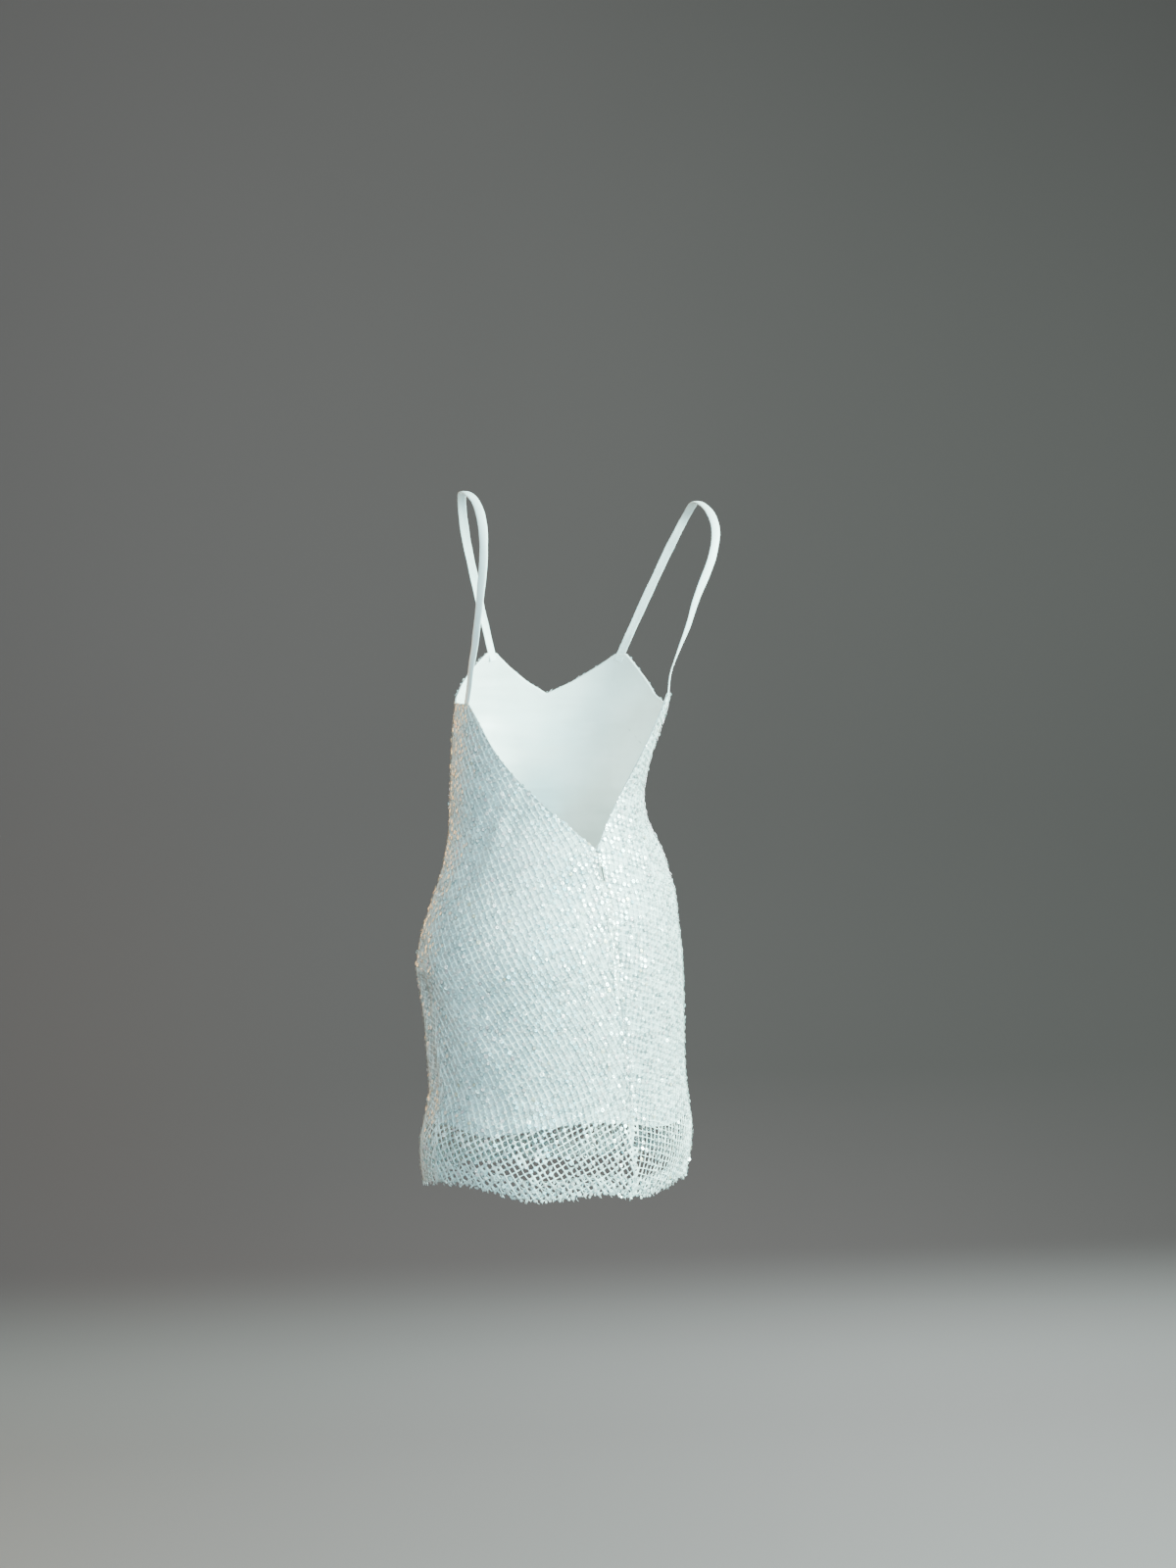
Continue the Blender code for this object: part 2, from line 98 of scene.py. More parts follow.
# Level sections of the dress, lowest first.  height; half_width across the
# section; back and front depth from its middle; shift_x of the middle; turn
# in degrees of the section about the upright, counted from +X to +Y.
LEVELS = np.array([
    # height  half   back   front  shift  turn
    (-0.821, 0.170, 0.130, 0.102, 0.029, 35.0),
    (-0.801, 0.174, 0.132, 0.105, 0.029, 35.0),
    (-0.771, 0.181, 0.135, 0.108, 0.029, 34.5),
    (-0.741, 0.182, 0.134, 0.106, 0.029, 33.5),
    (-0.721, 0.177, 0.132, 0.104, 0.029, 33.0),
    (-0.696, 0.171, 0.130, 0.102, 0.028, 33.0),
    (-0.631, 0.170, 0.130, 0.100, 0.031, 32.0),
    (-0.581, 0.171, 0.130, 0.099, 0.034, 30.0),
    (-0.541, 0.172, 0.130, 0.099, 0.037, 29.0),
    (-0.501, 0.165, 0.125, 0.098, 0.036, 28.0),
    (-0.471, 0.155, 0.118, 0.097, 0.032, 25.0),
    (-0.441, 0.142, 0.111, 0.096, 0.031, 22.5),
    (-0.411, 0.132, 0.104, 0.095, 0.032, 21.0),
    (-0.381, 0.122, 0.096, 0.094, 0.037, 20.0),
    (-0.351, 0.118, 0.093, 0.095, 0.039, 18.0),
    (-0.321, 0.118, 0.094, 0.099, 0.036, 14.0),
    (-0.281, 0.122, 0.097, 0.106, 0.029, 9.0),
    (-0.245, 0.126, 0.099, 0.109, 0.022, 5.0),
    (-0.191, 0.129, 0.101, 0.104, 0.017, 2.0),
    (-0.141, 0.130, 0.100, 0.098, 0.013, 0.0),
])

# Height of the open back's edge: angle from centre back and height.
BACK_EDGE = np.array([
    (0.0, -0.411), (13.0, -0.381), (26.0, -0.354), (49.0, -0.300), (62.0, -0.261),
    (69.3, -0.245)])

# The rest of the top edge, angle and height: level under the arm, up to the
# front strap, and down to a shallow V at centre front.
SIDE_EDGE = np.array([
    (69.2, -0.245), (76.3, -0.245), (95.0, -0.243), (110.0, -0.231), (125.0, -0.206),
    (138.4, -0.181), (145.4, -0.181), (155.0, -0.196), (168.0, -0.215), (180.0, -0.229)])

# The right back corner is worn higher: how much, where, and its half width.
CORNER_LIFT = 0.014
CORNER_ANGLE = -72.69
CORNER_WIDTH = 16.0

# Hems of the net and of the lining round the dress: angle and height.
NET_HEM = np.array([
    (-180, -0.797), (-140, -0.803), (-110, -0.798), (-60, -0.802), (-28, -0.803),
    (0, -0.806), (14, -0.797), (30, -0.799), (47, -0.797), (57, -0.791),
    (68, -0.784), (98, -0.787), (125, -0.794), (150, -0.789), (180, -0.797)])
LINING_HEM = np.array([
    (-180, -0.723), (-140, -0.727), (-90, -0.723), (-44, -0.727), (-16, -0.730),
    (-3, -0.723), (8, -0.717), (23, -0.715), (44, -0.721), (64, -0.726),
    (80, -0.717), (98, -0.719), (140, -0.724), (180, -0.723)])

# Bust fullness, folds, waves and smaller creases.  Each row is a soft ridge
# (depth above zero) or trough (below zero) in the cloth: where its middle is,
# how its angle leans for each metre of height, half width, half length, depth.
FOLDS = np.array([
    # angle height  lean  wide   long    depth
    (142, -0.266, 0, 24.0, 0.052, 0.011),
    (-142, -0.266, 0, 24.0, 0.052, 0.011),
    (88, -0.591, 150, 9.0, 0.075, -0.0028),
    (66, -0.641, 170, 9.0, 0.080, 0.0022),
    (-84, -0.591, -140, 10.0, 0.070, -0.0026),
    (-112, -0.631, -120, 10.0, 0.085, 0.0024),
    (150, -0.601, 120, 12.0, 0.090, 0.0022),
    (-158, -0.651, -90, 11.0, 0.080, -0.0024),
    (24, -0.806, 0, 11.0, 0.050, -0.0026),
    (44, -0.806, 0, 11.0, 0.050, 0.0030),
    (4, -0.806, 0, 9.0, 0.050, 0.0022),
    (-30, -0.806, 0, 12.0, 0.055, -0.0020),
    (112, -0.806, 0, 13.0, 0.060, 0.0036),
    (140, -0.806, 0, 13.0, 0.060, -0.0030),
    (170, -0.806, 0, 14.0, 0.060, 0.0034),
    (-150, -0.806, 0, 13.0, 0.060, -0.0032),
    (-118, -0.806, 0, 13.0, 0.060, 0.0036),
    # the smaller creases
    (40, -0.372, -260, 5.0, 0.040, -0.0016),
    (52, -0.392, -240, 5.0, 0.045, 0.0014),
    (66, -0.420, -220, 6.0, 0.045, -0.0018),
    (80, -0.640, 180, 5.0, 0.070, 0.0014),
    (58, -0.690, 160, 5.0, 0.050, -0.0012),
    (100, -0.560, 120, 5.0, 0.060, -0.0020),
    (110, -0.560, 100, 5.0, 0.055, 0.0018),
    (-46, -0.395, 230, 6.0, 0.040, -0.0014),
    (-62, -0.430, 210, 6.0, 0.045, 0.0014),
    (-72, -0.660, -150, 6.0, 0.070, -0.0014),
    (150, -0.400, 260, 7.0, 0.045, -0.0016),
    (-150, -0.405, -250, 7.0, 0.045, -0.0016),
    (170, -0.440, 120, 8.0, 0.060, 0.0014),
    (-120, -0.560, -130, 6.0, 0.070, -0.0018),
    (128, -0.330, 200, 6.0, 0.040, -0.0014),
    (-128, -0.330, -200, 6.0, 0.040, -0.0014),
    (92, -0.640, 0, 4.0, 0.100, 0.0014),
    (98, -0.660, 0, 4.5, 0.055, -0.0022),
    (109, -0.665, 0, 7.0, 0.055, 0.0026),
    (100, -0.527, 0, 7.0, 0.011, -0.0028),
    (104, -0.548, 0, 8.0, 0.008, 0.0020),
    (99, -0.577, 0, 6.0, 0.014, -0.0028),
    (-96, -0.560, 0, 6.0, 0.014, -0.0022),
    (-98, -0.640, 0, 5.0, 0.060, -0.0020),
])

# Each strap's middle line from its root at the back to its root at the front:
# x, y, z and the way its face looks (azimuth from +X to +Y, elevation up).
LEFT_STRAP = np.array([
    # x      y       z      azimuth elevation
    (0.1345, 0.0560, -0.206, 34.0, 0.0),
    (0.1290, 0.0680, -0.161, 44.0, 2.0),
    (0.1245, 0.0715, -0.116, 56.0, 6.0),
    (0.1205, 0.0660, -0.071, 68.0, 16.0),
    (0.1210, 0.0540, -0.037, 76.0, 30.0),
    (0.1270, 0.0320, -0.009, 82.0, 52.0),
    (0.1385, 0.0000, 0.0045, 90.0, 86.0),
    (0.1370, -0.0320, -0.010, 276.0, 52.0),
    (0.1310, -0.0540, -0.042, 280.0, 28.0),
    (0.1200, -0.0680, -0.088, 286.0, 14.0),
    (0.1090, -0.0755, -0.134, 294.0, 6.0),
])
RIGHT_STRAP = np.array([
    # x       y       z      azimuth elevation
    (-0.1025, 0.0340, -0.206, 166.0, 0.0),
    (-0.1170, 0.0510, -0.161, 142.0, 2.0),
    (-0.1300, 0.0600, -0.116, 122.0, 6.0),
    (-0.1470, 0.0590, -0.071, 108.0, 16.0),
    (-0.1525, 0.0490, -0.039, 98.0, 30.0),
    (-0.1475, 0.0300, -0.015, 94.0, 52.0),
    (-0.1380, 0.0000, -0.003, 90.0, 86.0),
    (-0.1330, -0.0320, -0.015, 264.0, 52.0),
    (-0.1195, -0.0540, -0.046, 260.0, 28.0),
    (-0.1005, -0.0690, -0.090, 254.0, 14.0),
    (-0.0808, -0.0775, -0.135, 246.0, 6.0),
])

# Bust darts of the front: angle and height at the side seam and at the point.
DARTS = ((92.0, -0.300, 128.0, -0.268), (-92.0, -0.300, -128.0, -0.268))


def curve(value, marks, amounts):
    """Smooth curve through the marks: cubic pieces with centred slopes."""
    value = np.clip(value, marks[0], marks[-1])
    slopes = np.gradient(amounts, marks)
    at = np.clip(np.searchsorted(marks, value) - 1, 0, len(marks) - 2)
    span = marks[at + 1] - marks[at]
    u = (value - marks[at]) / span
    rise = (3.0 - 2.0 * u) * u * u
    leave = u * (1.0 - u) ** 2 * span * slopes[at]
    arrive = u * u * (u - 1.0) * span * slopes[at + 1]
    return amounts[at] * (1.0 - rise) + amounts[at + 1] * rise + leave + arrive


def ramp(value, run):
    """Value as a share of a run, held between 0 and 1."""
    return np.clip(value / run, 0.0, 1.0)


def wrap(angle):
    """Angle brought between -180 and 180 degrees."""
    return (np.asarray(angle) + 180.0) % 360.0 - 180.0


def unit(vectors):
    """Vectors brought to length one."""
    return vectors / np.maximum(np.linalg.norm(vectors, axis=-1, keepdims=True), 1e-12)


def full_turn(count):
    """Bearings evenly round a full turn."""
    return np.linspace(0.0, 2.0 * np.pi, count, endpoint=False)


def blunt(value, power):
    """Size to a power below one with the sign kept: a wave with broader tops."""
    return np.sign(value) * np.abs(value) ** power


def rounded_box(turn, wide, high, power):
    """Outline between an ellipse and a box: blunt cosine and sine, each scaled."""
    return np.stack([wide * blunt(np.cos(turn), power),
                     high * blunt(np.sin(turn), power)], axis=-1)


def reach(base, ways, lengths):
    """Points found from a base by going each length along its way."""
    for way, length in zip(ways, lengths):
        base = base + length[..., None] * way
    return base


def dress_point(angle, height):
    """Outer face of the dress: half a back ellipse and half a front one at each
    height, pushed out along the ellipse by the folds, turned and shifted.  A fold
    is a bell across it times a bell along it."""
    half, back, front, shift, turn = (
        curve(height, LEVELS[:, 0], LEVELS[:, k]) for k in range(1, 6))
    turn = np.radians(turn)
    side = np.sin(np.radians(angle))
    fore = np.cos(np.radians(angle))
    deep = np.where(fore > 0.0, back, front)
    push = np.zeros(np.broadcast(angle, height).shape)
    for middle, level, lean, wide, long, depth in FOLDS:
        across = wrap(angle - middle - lean * (height - level)) / wide
        up = (height - level) / long
        push = push + depth * np.exp(-across * across - up * up)
    push = push / np.hypot(side / half, fore / deep)
    x = half * side + push * side / half
    y = deep * fore + push * fore / deep
    return np.stack([
        x * np.cos(turn) - y * np.sin(turn) + shift,
        x * np.sin(turn) + y * np.cos(turn),
        height + 0.0 * x], axis=-1)


def outward(angle, height):
    """Outward unit normal: the rising way crossed with the turning way."""
    turning = dress_point(angle + 0.2, height) - dress_point(angle - 0.2, height)
    rising = dress_point(angle, height + 0.0005) - dress_point(angle, height - 0.0005)
    return unit(np.cross(rising, turning))


def cloth(angle, height, out):
    """Dress surface moved out along its normal by a length."""
    return dress_point(angle, height) + np.asarray(out)[..., None] * outward(angle, height)


def per_degree(height):
    """Length round the dress for one degree at centre back."""
    return np.linalg.norm(dress_point(1.0, height) - dress_point(0.0, height), axis=-1)


def top_edge(angle):
    """Height of the dress's top edge: the open back, then level, then the front."""
    off = np.abs(wrap(angle))
    back = curve(off, BACK_EDGE[:, 0], BACK_EDGE[:, 1])
    side = np.interp(off, SIDE_EDGE[:, 0], SIDE_EDGE[:, 1])
    lift = CORNER_LIFT * np.exp(-(wrap(angle - CORNER_ANGLE) / CORNER_WIDTH) ** 2)
    return np.where(off < BACK_EDGE[-1, 0], back, side) + lift


def net_hem(angle):
    """Height of the net's hem."""
    return curve(wrap(angle), NET_HEM[:, 0], NET_HEM[:, 1])


def lining_hem(angle):
    """Height of the lining's hem."""
    return curve(wrap(angle), LINING_HEM[:, 0], LINING_HEM[:, 1])


def back_line(height):
    """How plainly the painted shadow line at centre back shows at each height."""
    return np.interp(height, BACK_LINE[:, 0], BACK_LINE[:, 1])


def dart_away(angle, height):
    """Length from the nearer bust dart, and how far along that dart."""
    nearest = np.full(np.broadcast(angle, height).shape, 1.0)
    along = np.zeros(nearest.shape)
    for angle_a, height_a, angle_b, height_b in DARTS:
        run = np.array([(angle_b - angle_a) * GIRTH, height_b - height_a])
        u = wrap(angle - angle_a) * GIRTH
        v = height - height_a
        share = np.clip((u * run[0] + v * run[1]) / (run @ run), 0.0, 1.0)
        away = np.hypot(u - share * run[0], v - share * run[1])
        along = np.where(away < nearest, share, along)
        nearest = np.minimum(away, nearest)
    return nearest, along


def seam_dip(angle, height):
    """How far the cloth dips at its seams and darts: a narrow bell about each."""
    wide = 0.0022
    dip = 0.0
    for seam, deep in ((0.0, 0.0012), (90.0, 0.0009), (-90.0, 0.0009)):
        dip = dip + deep * np.exp(-(wrap(angle - seam) * GIRTH / wide) ** 2)
    away, share = dart_away(angle, height)
    return dip + 0.0012 * (1.0 - 0.7 * share) * np.exp(-(away / wide) ** 2)


class Unrolled:
    """Flat cloth of one panel: length across from its middle angle, and height.
    A table of arc lengths turns a place on the flat cloth back into an angle."""

    LOW, HIGH, ROW = -0.840, -0.140, 0.004
    EDGE, COLUMN = 0.42, 0.0025

    def __init__(self, middle, half_angle):
        self.middle = middle
        heights = np.arange(self.LOW, self.HIGH, self.ROW)
        spread = np.linspace(-half_angle, half_angle, 161)
        points = dress_point(middle + spread[None, :], heights[:, None])
        steps = np.linalg.norm(np.diff(points, axis=1), axis=2)
        run = np.concatenate([np.zeros((len(steps), 1)), np.cumsum(steps, axis=1)], axis=1)
        run -= run[:, 80:81]
        flat = np.linspace(-self.EDGE, self.EDGE, 337)
        self.angles = np.array([np.interp(flat, r, spread) for r in run])

    def angle(self, across, height):
        """Angle at a flat place, between the four nearest entries of the table."""
        table = self.angles
        i = np.clip((height - self.LOW) / self.ROW, 0.0, table.shape[0] - 1.001)
        j = np.clip((across + self.EDGE) / self.COLUMN, 0.0, table.shape[1] - 1.001)
        i0, j0 = i.astype(int), j.astype(int)
        u, v = i - i0, j - j0
        low = table[i0, j0] * (1.0 - v) + table[i0, j0 + 1] * v
        high = table[i0 + 1, j0] * (1.0 - v) + table[i0 + 1, j0 + 1] * v
        return self.middle + low * (1.0 - u) + high * u


def link_mesh(name, points, faces):
    """Object with a smooth mesh from whole arrays: points, four corners a face."""
    mesh = bpy.data.meshes.new(name)
    points = np.asarray(points, dtype=np.float32).reshape(-1, 3)
    mesh.vertices.add(len(points))
    mesh.vertices.foreach_set("co", points.ravel())
    mesh.loops.add(faces.size)
    mesh.loops.foreach_set("vertex_index", faces.astype(np.int32).ravel())
    mesh.polygons.add(len(faces))
    mesh.polygons.foreach_set("loop_start", np.arange(len(faces)) * faces.shape[1])
    mesh.polygons.foreach_set("use_smooth", np.ones(len(faces), dtype=bool))
    mesh.update(calc_edges=True)
    made = bpy.data.objects.new(name, mesh)
    bpy.context.scene.collection.objects.link(made)
    return made


def make_piece(name, points, faces, finish, flat=None, marks=None, node=None,
               body="dress"):
    """Piece of the dress: a mesh with its finish, the node it stands for
    and its body.  Flat places and marks are numbers for each point of the grid."""
    made = link_mesh(name, points, faces)
    grid = np.shape(points)[:-1]
    if flat is not None:
        flat = np.stack([np.broadcast_to(way, grid).ravel() for way in flat], axis=-1)
        low = flat.min(axis=0)
        size = (flat.max(axis=0) - low).max()
        spots = 0.005 + 0.99 * (flat - low) / size
        layer = made.data.uv_layers.new(name="OFBake")
        layer.data.foreach_set("uv", spots[faces.ravel()].astype(np.float32).ravel())
    for key, values in (marks or {}).items():
        values = np.broadcast_to(values, grid).astype(np.float32).ravel()
        made.data.attributes.new(key, "FLOAT", "POINT").data.foreach_set("value", values)
    made.data.materials.append(finish)
    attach(made, body)
    if node:
        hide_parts(node)
    return made


def grid_faces(rows, columns, close_rows=False, close_columns=False):
    """Four corners of every cell of a grid of points, rows first."""
    last_row = rows if close_rows else rows - 1
    last_column = columns if close_columns else columns - 1
    i, j = np.meshgrid(np.arange(last_row), np.arange(last_column), indexing="ij")
    i2, j2 = (i + 1) % rows, (j + 1) % columns
    cells = np.stack([i * columns + j, i2 * columns + j, i2 * columns + j2,
                      i * columns + j2], axis=-1)
    return cells.reshape(-1, 4)


def tube_faces(count, rows, columns):
    """Faces of many like tubes, each a grid closed round its columns."""
    one = grid_faces(rows, columns, close_columns=True)
    return (one[None] + np.arange(count)[:, None, None] * rows * columns).reshape(-1, 4)


class Wire:
    """A shader socket in an expression: each operator adds its Math node."""

    def __init__(self, finish, socket):
        self.finish = finish
        self.socket = socket

    def maths(self, operation, *values):
        return self.finish.node("ShaderNodeMath", {"operation": operation},
                                dict(enumerate(values)))

    def __add__(self, other):
        return self.maths("ADD", self, other)

    def __radd__(self, other):
        return self.maths("ADD", other, self)

    def __sub__(self, other):
        return self.maths("SUBTRACT", self, other)

    def __rsub__(self, other):
        return self.maths("SUBTRACT", other, self)

    def __mul__(self, other):
        return self.maths("MULTIPLY", self, other)

    def __rmul__(self, other):
        return self.maths("MULTIPLY", other, self)

    def sine(self):
        return self.maths("SINE", self)

    def size(self):
        return self.maths("ABSOLUTE", self)


class Finish:
    """One material: a Principled shader and what feeds it."""

    def __init__(self, name, **constants):
        self.material = bpy.data.materials.new(name)
        self.material.use_nodes = True
        self.tree = self.material.node_tree
        self.shader = self.tree.nodes["Principled BSDF"]
        for key, value in constants.items():
            self.shader.inputs[key.replace("_", " ")].default_value = value

    def node(self, kind, settings=None, inputs=None, output=0):
        """A node of this kind: its settings first, then values or wires."""
        made = self.tree.nodes.new(kind)
        for key, value in (settings or {}).items():
            setattr(made, key, value)
        for key, value in (inputs or {}).items():
            if isinstance(value, Wire):
                self.tree.links.new(value.socket, made.inputs[key])
            else:
                made.inputs[key].default_value = value
        return Wire(self, made.outputs[output])

    def place(self):
        """Object coordinates."""
        return self.node("ShaderNodeTexCoord", output=3)

    def axis(self, which):
        """One of the object's own three coordinates."""
        return self.node("ShaderNodeSeparateXYZ", None, {0: self.place()}, which)

    def noise(self, scale, detail=2.0, rough=0.5):
        """Soft cloudy pattern between 0 and 1 at this scale."""
        return self.node("ShaderNodeTexNoise", None, {
            "Vector": self.place(), "Scale": scale, "Detail": detail, "Roughness": rough})

    def mark(self, name):
        """A number kept for each point of the mesh."""
        return self.node("ShaderNodeAttribute", {"attribute_name": name}, None, 2)

    def blend(self, share, first, second):
        """Colour between two others, each a wire or its red, green and blue."""
        first, second = (tone if isinstance(tone, Wire) else (*tone, 1.0)
                         for tone in (first, second))
        return self.node("ShaderNodeMix", {"data_type": "RGBA"},
                         {0: share, 6: first, 7: second}, 2)

    def limit(self, value, low, high):
        """Value from low to high, brought to between 0 and 1."""
        return self.node("ShaderNodeMapRange", {"interpolation_type": "SMOOTHSTEP"},
                         {0: value, 1: low, 2: high})

    def line(self, value, where, half):
        """One on a line of this half width, fading to nothing beyond it."""
        return 1.0 - self.limit((value - where).size(), 0.4 * half, half)

    def bump(self, height, distance, strength, **under):
        """Normal of a raised pattern, over another normal where one is given."""
        return self.node("ShaderNodeBump", None, {
            "Strength": strength, "Distance": distance, "Height": height, **under})

    def feed(self, **wires):
        """Feeds the shader's own sockets."""
        for key, wire in wires.items():
            self.tree.links.new(wire.socket, self.shader.inputs[key.replace("_", " ")])
        return self.material


def net_thread():
    """Ivory knotted thread: fine twist, cloudy paleness, a little sheen, a painted
    highlight along the top edge and a painted shadow line at centre back.
    """
    made = Finish("net_thread", Roughness=0.6, Sheen_Weight=0.25, Sheen_Roughness=0.4)
    cloud = made.noise(9.0, 3.0)
    twist = made.noise(1500.0, 2.0, 0.6)
    tone = made.limit(cloud * 0.7 + twist * 0.3, 0.3, 0.7)
    base = made.blend(tone, (0.53, 0.60, 0.59), (0.73, 0.79, 0.77))
    # painted highlight: the thread turns paler close to the top edge, where the rolled edge
    # catches the light
    edge = 1.0 - made.limit(made.mark("edge"), 0.0015, 0.0040)
    base = made.blend(0.7 * edge, base, (0.90, 0.93, 0.92))
    # painted shadow: the net turns near black in the closed seam at centre back, as plainly as
    # back_line gives
    seam_shadow = 1.0 - made.limit(made.mark("seam_shadow"), 0.0006, 0.0015)
    base = made.blend(seam_shadow * made.mark("shown"), base, (0.10, 0.11, 0.11))
    return made.feed(Base_Color=base, Roughness=0.50 + 0.25 * twist,
                     Normal=made.bump(twist, 0.0004, 0.6))


def sequin_film():
    """Pearly film: each piece has its own tint, from green to rose, its own clearness and a rim
    darkened more or less by painted shade."""
    made = Finish("sequin_film", Roughness=0.25, Metallic=0.40, Coat_Weight=1.0,
                  Coat_Roughness=0.08, IOR=1.6)
    tint, rim, shade = made.mark("tint"), made.mark("rim"), made.mark("shade")
    cool = made.blend(made.limit(tint, 0.0, 0.5), (0.74, 0.92, 0.93), (0.95, 0.97, 0.96))
    warm = made.blend(made.limit(tint, 0.6, 0.94), cool, (0.97, 0.91, 0.91))
    warm = made.blend(made.limit(tint, 0.950, 0.955), warm, (0.98, 0.80, 0.84))
    warm = made.blend(made.limit(tint, 0.980, 0.985), warm, (1.00, 0.88, 0.66))
    # painted shade: a dark ring at each sequin's rim, its strength set by the shade mark
    outline = made.limit(rim, 0.66, 0.80) * (0.20 + 0.80 * shade)
    base = made.blend(outline, warm, (0.10, 0.14, 0.16))
    clear = 0.42 + 0.48 * shade + 0.35 * made.limit(rim, 0.62, 0.80)
    return made.feed(Base_Color=base, Roughness=0.18 + 0.24 * made.noise(400.0),
                     Alpha=clear, Coat_Weight=1.0 - 0.6 * outline)


def lining_satin():
    """Lining: pale satin inside, darker outside under the net as painted shade, a fine weave, a
    row of stitches below its top edge and above its hem, pressed seams and darts darkened with
    painted shade."""
    made = Finish("lining_satin", Roughness=0.36, Sheen_Weight=0.15)
    below, above, aside = made.mark("below"), made.mark("above"), made.mark("aside")
    dart, inner = made.mark("dart"), made.mark("inner")
    cloud = made.limit(made.noise(14.0, 3.0), 0.3, 0.7)
    weave = made.node("ShaderNodeTexWave", {"bands_direction": "Z"}, {
        "Vector": made.place(), "Scale": 700.0, "Distortion": 1.2, "Detail": 1.0})
    drag = made.node("ShaderNodeTexNoise", None, {
        "Vector": made.node("ShaderNodeMapping", None, {
            "Vector": made.place(), "Scale": (5.0, 5.0, 26.0),
            "Rotation": (0.25, -0.2, 0.0)}),
        "Scale": 1.0, "Detail": 2.0})
    dash = made.limit((made.mark("along") * 2500.0).sine(), -0.5, 0.1)
    row = made.line(below, 0.0045, 0.0006) + made.line(above, 0.0160, 0.0006)
    stitch = row * dash
    seam = made.line(aside, 0.0, 0.0010) + made.line(dart, 0.0, 0.0009)
    ridge = made.line(aside, 0.0105, 0.0010)
    pale = made.blend(cloud, (0.74, 0.76, 0.74), (0.84, 0.86, 0.84))
    # painted shade: the outer face, under the net, is a darker copy of the pale inner satin
    dull = made.blend(cloud, (0.41, 0.46, 0.47), (0.49, 0.54, 0.55))
    base = made.blend(inner, dull, pale)
    # painted shade: the seam and dart lines are darkened where their grooves lie
    base = made.blend(0.7 * seam, base, (0.36, 0.38, 0.38))
    base = made.blend(0.6 * stitch, base, (0.94, 0.95, 0.93))
    height = weave * 0.05 + stitch * 0.5 - row * 0.5 - seam * 0.8 + ridge * 0.3
    soft = made.bump(drag, 0.0080, 0.8)
    fine = made.bump(height, 0.0004, 0.6, Normal=soft)
    return made.feed(Base_Color=base, Roughness=0.31 + 0.1 * weave, Normal=fine)


def strap_satin():
    """Folded satin strap: weave along its length and two rows of stitches."""
    made = Finish("strap_satin", Roughness=0.38, Sheen_Weight=0.2)
    across, along = made.mark("across"), made.mark("along")
    ribs = (along * 5200.0).sine()
    row = made.line(across.size(), 0.0036, 0.0004)
    stitch = row * made.limit((along * 2500.0).sine(), -0.4, 0.2)
    cloud = made.limit(made.noise(30.0), 0.3, 0.7)
    base = made.blend(cloud, (0.66, 0.72, 0.72), (0.80, 0.85, 0.84))
    base = made.blend(stitch * 0.6, base, (0.93, 0.94, 0.92))
    height = ribs * 0.12 + stitch * 0.8 - row * 0.8
    return made.feed(Base_Color=base, Roughness=0.34 + 0.1 * cloud,
                     Normal=made.bump(height, 0.0002, 0.8))


def woven_tape():
    """Zip tape: close twill ribs."""
    made = Finish("woven_tape", Roughness=0.75)
    ribs = made.node("ShaderNodeTexWave", {"bands_direction": "DIAGONAL"}, {
        "Vector": made.place(), "Scale": 420.0, "Distortion": 0.6})
    base = made.blend(ribs, (0.74, 0.75, 0.71), (0.86, 0.86, 0.83))
    return made.feed(Base_Color=base, Normal=made.bump(ribs, 0.0002, 0.6))


def enamel(name, tone, rough, grooved=False):
    """Painted metal: faint orange peel, worn paler where it is rubbed, and on a grooved piece a
    hollow down its middle, darkened with painted shadow."""
    made = Finish(name, Roughness=rough, Coat_Weight=0.4)
    peel = made.noise(900.0, 2.0)
    worn = made.limit(made.noise(160.0, 4.0), 0.60, 0.75)
    base = made.blend(worn * 0.4, tone, (0.62, 0.62, 0.60))
    height = peel
    dull = rough + 0.2 * worn
    coat = 0.4 - 0.2 * worn
    if grooved:
        run = made.mark("run")
        groove = made.line(made.mark("aside"), 0.0, 0.0017)
        groove = groove * made.limit(run, -0.0212, -0.0204)
        groove = groove * (1.0 - made.limit(run, -0.0042, -0.0034))
        # painted shadow: the groove is coloured near black for the shade that falls in it
        base = made.blend(groove, base, (0.03, 0.035, 0.035))
        height = peel - 4.0 * groove
        dull = dull + 0.6 * groove
        coat = coat * (1.0 - groove)
    return made.feed(Base_Color=base, Roughness=dull, Coat_Weight=coat,
                     Normal=made.bump(height, 0.00006, 0.3))


NET_THREAD = net_thread()
SEQUIN_FILM = sequin_film()
LINING_SATIN = lining_satin()
STRAP_SATIN = strap_satin()
WOVEN_TAPE = woven_tape()
PULL_ENAMEL = enamel("pull_enamel", (0.80, 0.80, 0.76), 0.30, True)
SLIDER_ENAMEL = enamel("slider_enamel", (0.76, 0.77, 0.75), 0.34)
TEETH_NYLON = enamel("teeth_nylon", (0.80, 0.80, 0.77), 0.40)


